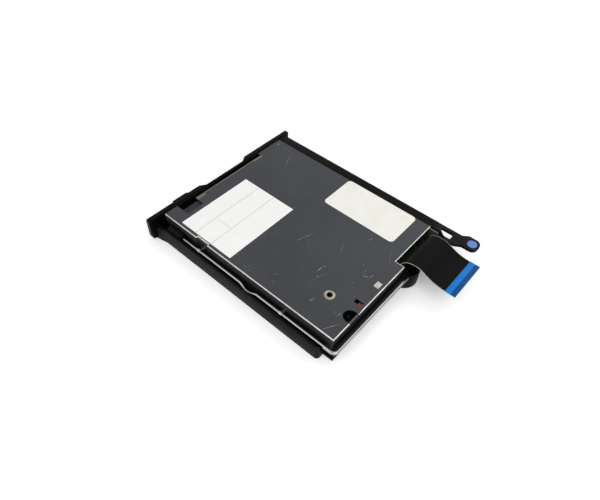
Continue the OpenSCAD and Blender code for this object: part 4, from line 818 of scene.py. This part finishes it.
@dataclass
class Casing:
    """The drive's own case: folded steel base with painted shade on its right and rear walls, sheet cover whose sheared
    edges at the right and rear carry a painted highlight, labels and rivet.
    """

    rim_mm: float = 0.42
    label_mm: float = 0.05
    rivet: Pair = (28.7, 43.55)
    rivet_r: float = 3.0
    rivet_shank: float = 1.85
    rivet_bore: float = 1.45
    top: float = 14.5
    deck: float = 2.6
    # Beyond these the base's outer walls take the nearly black finish as painted shade
    wall_rear: float = 60.0
    wall_right: float = 46.8
    # Where the cover's top edges take the bare edge finish as a painted highlight
    highlight_right: float = 46.0
    highlight_rear: float = 61.4
    highlight_corner: Pair = (-12.0, 55.0)
    scratch_seed: int = 7
    scratch_count: int = 20
    scratches: tuple[tuple[Pair, Pair, float], ...] = (
        ((21.6, 29.1), (16.0, 29.4), 0.16), ((16.4, 29.3), (15.4, 30.3), 0.16), ((24.1, 31.2), (22.8, 31.6), 0.18),
        ((13.0, 6.6), (-1.4, 11.5), 0.08), ((38.8, 38.3), (34.5, 39.5), 0.12), ((7.2, 48.5), (6.0, 51.9), 0.1),
        ((6.0, 51.9), (3.3, 52.7), 0.12), ((47.4, 53.2), (37.9, 58.6), 0.1), ((36.5, 54.1), (32.5, 54.6), 0.1),
        ((42.7, 16.9), (40.4, 17.3), 0.1), ((-44.9, -59.1), (-43.4, -58.6), 0.35))
    ink: Pair = (14.615, 14.628)
    rules: tuple[Quad, ...] = (
        (-4.3, -38.3, 45.4, -38.12), (-4.3, -25.8, 45.4, -25.62), (30.2, -37.4, 30.35, -26.6))

    def build(self) -> None:
        """Builds every piece of the case."""
        pressing = rounded("base_frame", 0.12, 1)
        # The base's right and rear outer walls are painted shade: the nearly black finish stands for the shadow they
        # fall in
        for face in pressing.polygons:
            if face.center.y > self.wall_rear * MM or face.center.x > self.wall_right * MM:
                face.material_index = 1
        place("base_pressing", pressing, [Finishes.FRAME_STEEL, Finishes.DARK_STEEL_AND_WALL_SHADE], ["base_frame"])
        # The right and rear top edges take the near-white edge finish: bare steel lightened as a painted highlight
        sheet = rounded("top_cover", self.rim_mm, 2, 1, self._highlit_edge)
        # The raised tab's top takes the light zinc finish, partly as a painted highlight
        for face in sheet.polygons:
            if face.center.z > (self.top + 0.05) * MM:
                face.material_index = 2
        place("cover_sheet", sheet, [Finishes.COATED_STEEL, Finishes.BARE_STEEL_AND_EDGE_HIGHLIGHT, Finishes.ZINC_AND_TAB_HIGHLIGHT], ["top_cover"])
        dress("rating_label_film", "rating_label", self.label_mm, Finishes.WHITE_LABEL)
        low, high = self.ink
        place("label_rules", merged([box((x0, y0, low), (x1, y1, high)) for x0, y0, x1, y1 in self.rules]),
              [Finishes.LABEL_INK])
        dress("caution_label_film", "caution_label", self.label_mm, Finishes.CREAM_LABEL)
        place("tubular_rivet", lathe(self._rivet_profile(), (*self.rivet, 0.0)), [Finishes.NICKEL],
              ["cover_rivet"])
        place("cover_scratches", self._scratches(), [Finishes.BARE_STEEL_AND_EDGE_HIGHLIGHT])

    def _highlit_edge(self, edge: Any) -> bool:
        """Keeps only the cover's upper edges at the right and the rear: bare metal, lightened as a painted highlight on
        the sides that catch the light.
        """
        middle = (edge.verts[0].co + edge.verts[1].co) / (2 * MM)
        x, y = self.highlight_corner
        # bare marks the edges that get the painted highlight
        bare = middle.x > self.highlight_right or middle.y > self.highlight_rear or (middle.x < x and middle.y > y)
        return bare and all(v.co.z > (self.top - 0.1) * MM for v in edge.verts)

    def _rivet_profile(self) -> list[Pair]:
        """Gives half the section of a tubular rivet with a rolled rim."""
        rim = [(self.rivet_bore + 0.75 + 0.85 * math.cos(a), self.top + 0.34 * math.sin(a))
               for a in (math.pi - math.pi * i / 12 for i in range(13))]
        crown = [(r, z) for r, z in rim if z >= self.top and self.rivet_bore + 0.1 < r < self.rivet_r - 0.2]
        return [(self.rivet_bore, self.deck), (self.rivet_shank, self.deck), (self.rivet_shank, self.top + 0.001),
                (self.rivet_r, self.top + 0.001), (self.rivet_r - 0.05, self.top + 0.14),
                *reversed(crown), (self.rivet_bore, self.top - 0.25)]

    def _scratches(self) -> Mesh:
        """Draws the scratches through the cover's coating as slivers of bare steel.

        Returns:
            The new mesh.
        """
        dice = random.Random(self.scratch_seed)
        marks = [(Vector(a), Vector(b), width) for a, b, width in self.scratches]
        for _ in range(self.scratch_count):
            start = Vector((dice.uniform(-18.0, 46.0), dice.uniform(-4.0, 56.0)))
            turn = dice.gauss(0.0, 0.45)
            marks.append((start, start + Vector((-math.cos(turn), math.sin(turn))) * dice.uniform(0.4, 3.4),
                          dice.uniform(0.03, 0.08)))
        work = bmesh.new()
        for start, stop, width in marks:
            aim = (stop - start).to_3d()
            side = Vector((-aim.y, aim.x, 0.0)).normalized() * width / 2
            first = Vector((start.x, start.y, self.top))
            foot = [first, first + aim * 0.4 - side, first + aim, first + aim * 0.6 + side]
            tip = Vector((0.0, 0.0, 0.012))
            walled(work, [work.verts.new((p - tip * 0.3) * MM) for p in foot],
                   [work.verts.new((p + tip) * MM) for p in foot])
        return finished(work)


@dataclass
class Latch:
    """The sprung latch at the tray's rear corner, with its blue touch point."""

    rim_mm: float = 0.4
    touch_rim_mm: float = 0.3

    def build(self) -> None:
        """Builds the latch."""
        dress("latch_moulding", "latch_arm", self.rim_mm, Finishes.RUBBED_ABS, "latch")
        dress("touch_button", "touch_point", self.touch_rim_mm, Finishes.TOUCH_BLUE, "latch", 3)


@dataclass
class Cable:
    """The flat film cable out of the drive's rear, with its connector, stiffener and bare contacts."""

    left: float = -41.5
    width: float = 27.0
    thick: float = 0.3
    start: float = 57.95
    reach: float = 27.4
    top: float = 14.5
    rise: float = 2.9
    stiff_l: float = 6.0
    stiff_t: float = 0.25
    edge: float = 0.16
    steps: int = 8
    contacts: int = 26
    # Round the film: the wide faces take the film's finish, the rest the light cut edge's
    film_tints: tuple[int, ...] = (1, 0, 1, 1, 1, 0, 1, 1)
    shares: tuple[Pair, ...] = (
        (0.0, -2.83), (0.0, -1.52), (0.018, -0.69), (0.069, 0.14), (0.157, 0.72), (0.292, 1.0), (0.431, 0.86),
        (0.555, 0.38), (0.679, -0.1), (0.832, -0.48), (1.0, -0.62))

    def build(self) -> None:
        """Builds the cable and what is on it."""
        line = self.route()
        place("film_cable", self._film(line), [Finishes.CABLE_FILM, Finishes.CABLE_EDGE], ["flex_cable"])
        dress("cable_socket", "cable_connector", 0.2, Finishes.NYLON)
        end = line[-1]
        low = end.z + self.thick / 2
        place("stiffener_film", self._stiffener(end.y - self.stiff_l, end.y, low),
              [Finishes.BLUE_FILM, Finishes.BLUE_DARK], ["cable_stiffener"])
        carry(Finishes.TINNED, "cable_contacts")
        bars = Grown.mesh(Grown.row(), {"Count": self.contacts, "Pitch": 1.0 * MM,
                                        "Size": Vector((0.5, 0.4 * self.stiff_l, 0.02)) * MM}, Finishes.BLUE_BARS,
                          Matrix.Translation(Vector((self.left + 1.0, end.y - 0.24 * self.stiff_l,
                                                     low + self.stiff_t)) * MM))
        place("stiffener_bars", bars, [Finishes.BLUE_BARS])

    def route(self) -> list[Vector]:
        """Gives the cable's middle line in the plane X = 0.

        Returns:
            The points in millimetres.
        """
        knots = [Vector((0.0, self.start + a * self.reach, self.top + b * self.rise)) for a, b in self.shares]
        points = []
        for i in range(len(knots) - 1):
            a, b, c, d = knots[max(0, i - 1)], knots[i], knots[i + 1], knots[min(len(knots) - 1, i + 2)]
            for k in range(self.steps):
                t = k / self.steps
                points.append(0.5 * (2 * b + (c - a) * t + (2 * a - 5 * b + 4 * c - d) * t * t
                                     + (3 * b - a - 3 * c + d) * t * t * t))
        return points + [knots[-1], knots[-1] + Vector((0.0, self.stiff_l, 0.0))]

    def _film(self, line: Sequence[Vector]) -> Mesh:
        """Makes the film as a strip with light cut edges.

        Args:
            line: Its middle line.

        Returns:
            The new mesh.
        """
        work = bmesh.new()
        right = self.left + self.width
        across = [self.left, self.left + self.edge, right - self.edge, right]
        half, rows = self.thick / 2, []
        for i, point in enumerate(line):
            way = (line[min(len(line) - 1, i + 1)] - line[max(0, i - 1)]).normalized()
            up = Vector((0.0, -way.z, way.y))
            loop = [(x, half) for x in across] + [(x, -half) for x in reversed(across)]
            rows.append([work.verts.new((Vector((x, point.y, point.z)) + up * h) * MM) for x, h in loop])
        return skinned(work, rows, self.film_tints)

    def _stiffener(self, near: float, far: float, low: float) -> Mesh:
        """Makes the stiffener: a bright half towards the drive, and a darker printed half beyond it.

        Args:
            near: Its edge towards the drive.
            far: Its free edge.
            low: Its underside's height.

        Returns:
            The new mesh.
        """
        middle = near + 0.52 * (far - near)
        mesh = box((self.left, near, low), (self.left + self.width, far, low + self.stiff_t), 0.05)
        work = bmesh.new()
        work.from_mesh(mesh)
        bmesh.ops.bisect_plane(work, geom=[*work.verts, *work.edges, *work.faces], plane_co=(0.0, middle * MM, 0.0),
                               plane_no=(0.0, 1.0, 0.0), dist=1e-7)
        for face in work.faces:
            face.material_index = 1 if face.calc_center_median().y > middle * MM else 0
        return finished(work)


@dataclass
class Mechanism:
    """Everything that moves inside: eject plate, disk holder, spindle motor and head stack."""

    spindle: Pair = (0.0, -16.65)
    eject_x: float = 38.8
    eject_start: float = -20.65
    eject_l: float = 23.8
    eject_z: float = 4.68
    eject_r: float = 1.0
    eject_wire: float = 0.17
    eject_turns: float = 17.0
    lever_r: float = 1.27
    lever_wire: float = 0.2
    lever_gap: float = 0.22
    lever_turns: float = 4.0
    arm_r: float = 0.62
    arm_wire: float = 0.09
    arm_gap: float = 0.1
    arm_turns: float = 9.0
    poles: int = 9
    loops: int = 11
    wound_from: float = 8.85
    wound_pitch: float = 0.41
    wound_w: float = 1.75
    wound_wire: float = 0.21
    wound_gap: float = 0.22

    def build(self) -> None:
        """Builds and dresses every inner piece."""
        dress("button_moulding", "eject_button", 0.4, Finishes.RUBBED_ABS, "eject", 3)
        dress("flap_moulding", "slot_flap", 0.15, Finishes.BLACK_ABS, "flap")
        carry(Finishes.DARK_STEEL_AND_WALL_SHADE, "disk_holder", "slide_plate")
        carry(Finishes.FRAME_STEEL, "shutter_lever", "rod_clamps", "stepper_bracket",
              "head_arm", "stepper_motor")
        carry(Finishes.TURNED_STEEL, "spindle_rotor", "stator_core", "board_screws", "lever_pin", "arm_pin",
              "guide_rod", "lead_screw", "spindle_shaft", "drive_pin")
        carry(Finishes.SPRING_WIRE, "flap_spring")
        carry(Finishes.ACETAL, "screw_follower", "density_plunger", "protect_plunger", "disk_plunger")
        carry(Finishes.TAN_ACETAL, "head_carriage", "screw_bearing")
        carry(Finishes.FERRITE, "rotor_magnet", "chuck_magnet")
        carry(Finishes.BRASS, "spindle_hub", "spindle_bearing")
        carry(Finishes.HEAD_CERAMIC, "lower_head", "upper_head")
        self._springs()
        self._windings()

    def _springs(self) -> None:
        """Grows the coil springs in the places of their plain solids."""
        lay = Matrix.Rotation(-math.pi / 2, 4, "X")
        pair = [self._coil(self.eject_r, self.eject_wire, self.eject_l * MM, self.eject_turns,
                           Matrix.Translation(Vector((side * self.eject_x, self.eject_start, self.eject_z)) * MM) @ lay)
                for side in (-1, 1)]
        place("eject_coils", merged(pair), [Finishes.SPRING_WIRE], ["eject_springs"])
        low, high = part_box("lever_spring")
        lever = self._coil(self.lever_r, self.lever_wire, high[2] - low[2] - 2 * self.lever_gap * MM, self.lever_turns,
                           Matrix.Translation(((low[0] + high[0]) / 2, (low[1] + high[1]) / 2,
                                               low[2] + self.lever_gap * MM)))
        place("lever_coil", lever, [Finishes.SPRING_WIRE], ["lever_spring"], "holder")
        low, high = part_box("arm_spring")
        turned = Matrix.Translation((low[0] + self.arm_gap * MM, (low[1] + high[1]) / 2, (low[2] + high[2]) / 2)) \
            @ Matrix.Rotation(math.pi / 2, 4, "Y")
        arm = self._coil(self.arm_r, self.arm_wire, high[0] - low[0] - 2 * self.arm_gap * MM, self.arm_turns, turned)
        place("arm_coil", arm, [Finishes.SPRING_WIRE], ["arm_spring"], "carriage")

    @staticmethod
    def _coil(radius: float, wire: float, length: float, turns: float, where: Matrix) -> Mesh:
        """Grows one coil spring.

        Args:
            radius: Its radius to the wire's middle, in millimetres.
            wire: The wire's radius in millimetres.
            length: Its length in metres.
            turns: Its number of turns.
            where: Its place, in metres.

        Returns:
            The new mesh.
        """
        return Grown.mesh(Grown.coil(), {"Radius": radius * MM, "Wire": wire * MM, "Length": length, "Turns": turns},
                          Finishes.SPRING_WIRE, where)

    def _windings(self) -> None:
        """Grows the loops of wire round the stator's poles."""
        low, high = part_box("stator_coils")
        centre = Matrix.Translation((self.spindle[0] * MM, self.spindle[1] * MM, (low[2] + high[2]) / 2))
        wound = Grown.mesh(Grown.winding(), {
            "Poles": self.poles, "Loops": self.loops, "Start": self.wound_from * MM, "Pitch": self.wound_pitch * MM,
            "Width": self.wound_w * MM, "Height": high[2] - low[2] - 2 * self.wound_gap * MM,
            "Wire": self.wound_wire * MM}, Finishes.COPPER, centre)
        place("pole_wires", wound, [Finishes.COPPER], ["stator_coils"])


@dataclass
class Boards:
    """The drive's circuit boards with their chips, small parts, switches and lamp."""

    leg_pitch: float = 0.8
    leg_w: float = 0.32
    leg_out: float = 0.55
    leg_h: float = 0.16

    def build(self) -> None:
        """Dresses the boards and grows the chips' legs."""
        carry(BOARD_IN_PAINTED_SHADE, "main_board", "motor_board")
        carry(Finishes.CERAMIC_IN_PAINTED_SHADE, "board_parts")
        carry(Finishes.AMBER_FILM, "head_flex")
        carry(Finishes.NYLON, "sensor_switches")
        carry(Finishes.GREEN_LENS, "lamp_lens", "activity_lamp")
        dress("chip_bodies", "control_chips", 0.12, Finishes.EPOXY, steps=1)
        place("chip_legs", self._legs(), [Finishes.TINNED])

    def _legs(self) -> Mesh:
        """Grows a row of legs along the two longer sides of each chip.

        Returns:
            The new mesh.
        """
        rows = []
        for low, high in self._chips():
            count = max(4, int((high.x - low.x) / self.leg_pitch) - 1)
            start = (low.x + high.x) / 2 - (count - 1) * self.leg_pitch / 2
            for y in (low.y - self.leg_out * 0.4, high.y + self.leg_out * 0.4):
                spot = Vector((start, y, low.z + self.leg_h * 0.6)) * MM
                size = Vector((self.leg_w, self.leg_out, self.leg_h)) * MM
                rows.append(Grown.mesh(Grown.row(), {"Count": count, "Pitch": self.leg_pitch * MM, "Size": size},
                                       Finishes.TINNED, Matrix.Translation(spot)))
        return merged(rows)

    def _chips(self) -> list[tuple[Vector, Vector]]:
        """Finds each chip's lowest and highest corner in millimetres."""
        work = from_cad("control_chips")
        found, seen = [], set()
        for vert in work.verts:
            if vert in seen:
                continue
            island, queue = [], [vert]
            while queue:
                item = queue.pop()
                if item in seen:
                    continue
                seen.add(item)
                island.append(item.co / MM)
                queue += [e.other_vert(item) for e in item.link_edges]
            found.append((Vector(map(min, zip(*island))), Vector(map(max, zip(*island)))))
        work.free()
        return found


@dataclass
class FrontEdge:
    """The rubbed strips on the cover's set-back front edge, and the film that shows in its rear slit."""

    strips: tuple[Quad, ...] = (
        (-27.9, -59.2, -20.1, -57.6), (20.9, -59.2, 27.1, -56.9), (-20.1, -59.2, 20.9, -58.5))
    low: float = 14.47
    high: float = 14.53
    film_legs: tuple[tuple[Point, Point], ...] = (
        ((21.3, 59.75, 4.4), (23.5, 59.9, 13.4)), ((21.3, 57.2, 13.25), (23.5, 59.9, 13.4)))

    def build(self) -> None:
        """Builds the rubbed strips and the film that shows in the cover's rear slit."""
        strips = [box((x0, y0, self.low), (x1, y1, self.high), 0.02) for x0, y0, x1, y1 in self.strips]
        place("rubbed_strips", merged(strips), [Finishes.RUBBED_COAT])
        film = merged([box(*corners) for corners in self.film_legs])
        place("amber_film_end", film, [Finishes.AMBER_FILM])


def directly_seen(tree: Tree) -> Socket:
    """Gives one for rays from the camera, and for those that gloss or glass sends on, and else zero."""
    path = add_node(tree, "ShaderNodeLightPath")
    seen = path.outputs["Is Camera Ray"]
    for kind in ("Is Glossy Ray", "Is Transmission Ray"):
        seen = reckon(tree, "MAXIMUM", seen, path.outputs[kind])
    return seen


@dataclass
class Studio:
    """The pale floor, the soft lamps and the camera at the photograph's angle."""

    floor_half: float = 3.0
    floor_z: float = -0.0002
    floor_glow: float = 0.22
    glow_from: Pair = (0.3, 0.9)
    world_light: float = 0.54
    lens: float = 30.24
    spot: Point = (155.7287, 125.903, 220.066)
    right: Point = (-0.65764, 0.75262, 0.03272)
    up: Point = (-0.55317, -0.51193, 0.65722)
    back: Point = (0.51139, 0.41411, 0.75299)
    lamps: tuple[tuple[Point, float, float], ...] = (
        ((0.35, 0.75, 0.9), 0.9, 5.6), ((0.9, -0.35, 0.8), 0.8, 2.2), ((-0.8, 0.1, 0.9), 1.0, 2.4))

    def build(self) -> None:
        """Builds the studio."""
        self._floor()
        self._world()
        for number, (place_at, size, power) in enumerate(self.lamps):
            data = bpy.data.lights.new(f"soft_lamp_{number + 1}", "AREA")
            data.shape, data.size, data.energy = "DISK", size, power
            lamp = stand(data.name, data)
            lamp.location = place_at
            lamp.rotation_euler = (-Vector(place_at)).to_track_quat("-Z", "Y").to_euler()
        self._camera()

    def _floor(self) -> None:
        """Lays a pale floor that shows white to the camera and keeps the shadow."""
        material, tree, shader = opened(bpy.data.materials.new("pale floor paint"))
        away = add_node(tree, "ShaderNodeVectorMath",
                        {0: add_node(tree, "ShaderNodeTexCoord").outputs["Object"]}, operation="LENGTH")
        glow = ramp(tree, away.outputs["Value"], *self.glow_from, self.floor_glow)
        fill(tree, shader, {"Base Color": linear("#fbfbfb"), "Roughness": 0.9, "Specular IOR Level": 0.1,
                            "Emission Color": (1.0, 1.0, 1.0, 1.0),
                            "Emission Strength": reckon(tree, "MULTIPLY", glow, directly_seen(tree))})
        half, z = self.floor_half, self.floor_z
        mesh = bpy.data.meshes.new("floor")
        mesh.from_pydata([(-half, -half, z), (half, -half, z), (half, half, z), (-half, half, z)], [], [(0, 1, 2, 3)])
        mesh.materials.append(material)
        stand("floor", mesh)

    def _world(self) -> None:
        """Lights everything softly, and shows white where nothing stands."""
        bpy.context.scene.world, tree, shader = opened(bpy.data.worlds.new("studio"), "BACKGROUND")
        fill(tree, shader, {"Color": (1.0, 1.0, 1.0, 1.0),
                            "Strength": ramp(tree, directly_seen(tree), 0.0, 1.0, self.world_light)})

    def _camera(self) -> None:
        """Stands the camera where the photograph was taken from."""
        data = bpy.data.cameras.new("camera")
        data.lens, data.sensor_width, data.clip_start = self.lens, 36.0, 0.01
        camera = stand("camera", data)
        turn = Matrix((self.right, self.up, self.back)).transposed()
        camera.matrix_world = Matrix.Translation(Vector(self.spot) * MM) @ turn.to_4x4()
        bpy.context.scene.camera = camera


def main() -> None:
    """Builds the drive from its sub-assemblies, in order, then the studio."""
    logging.basicConfig(level=logging.INFO, format="%(name)s: %(message)s")
    bpy.context.scene.view_settings.view_transform = "Standard"
    for part in (Tray(), Casing(), Latch(), Cable(), Mechanism(), Boards(), FrontEdge(), Studio()):
        log.info("building %s", type(part).__name__)
        part.build()


if __name__ == "__main__":
    main()
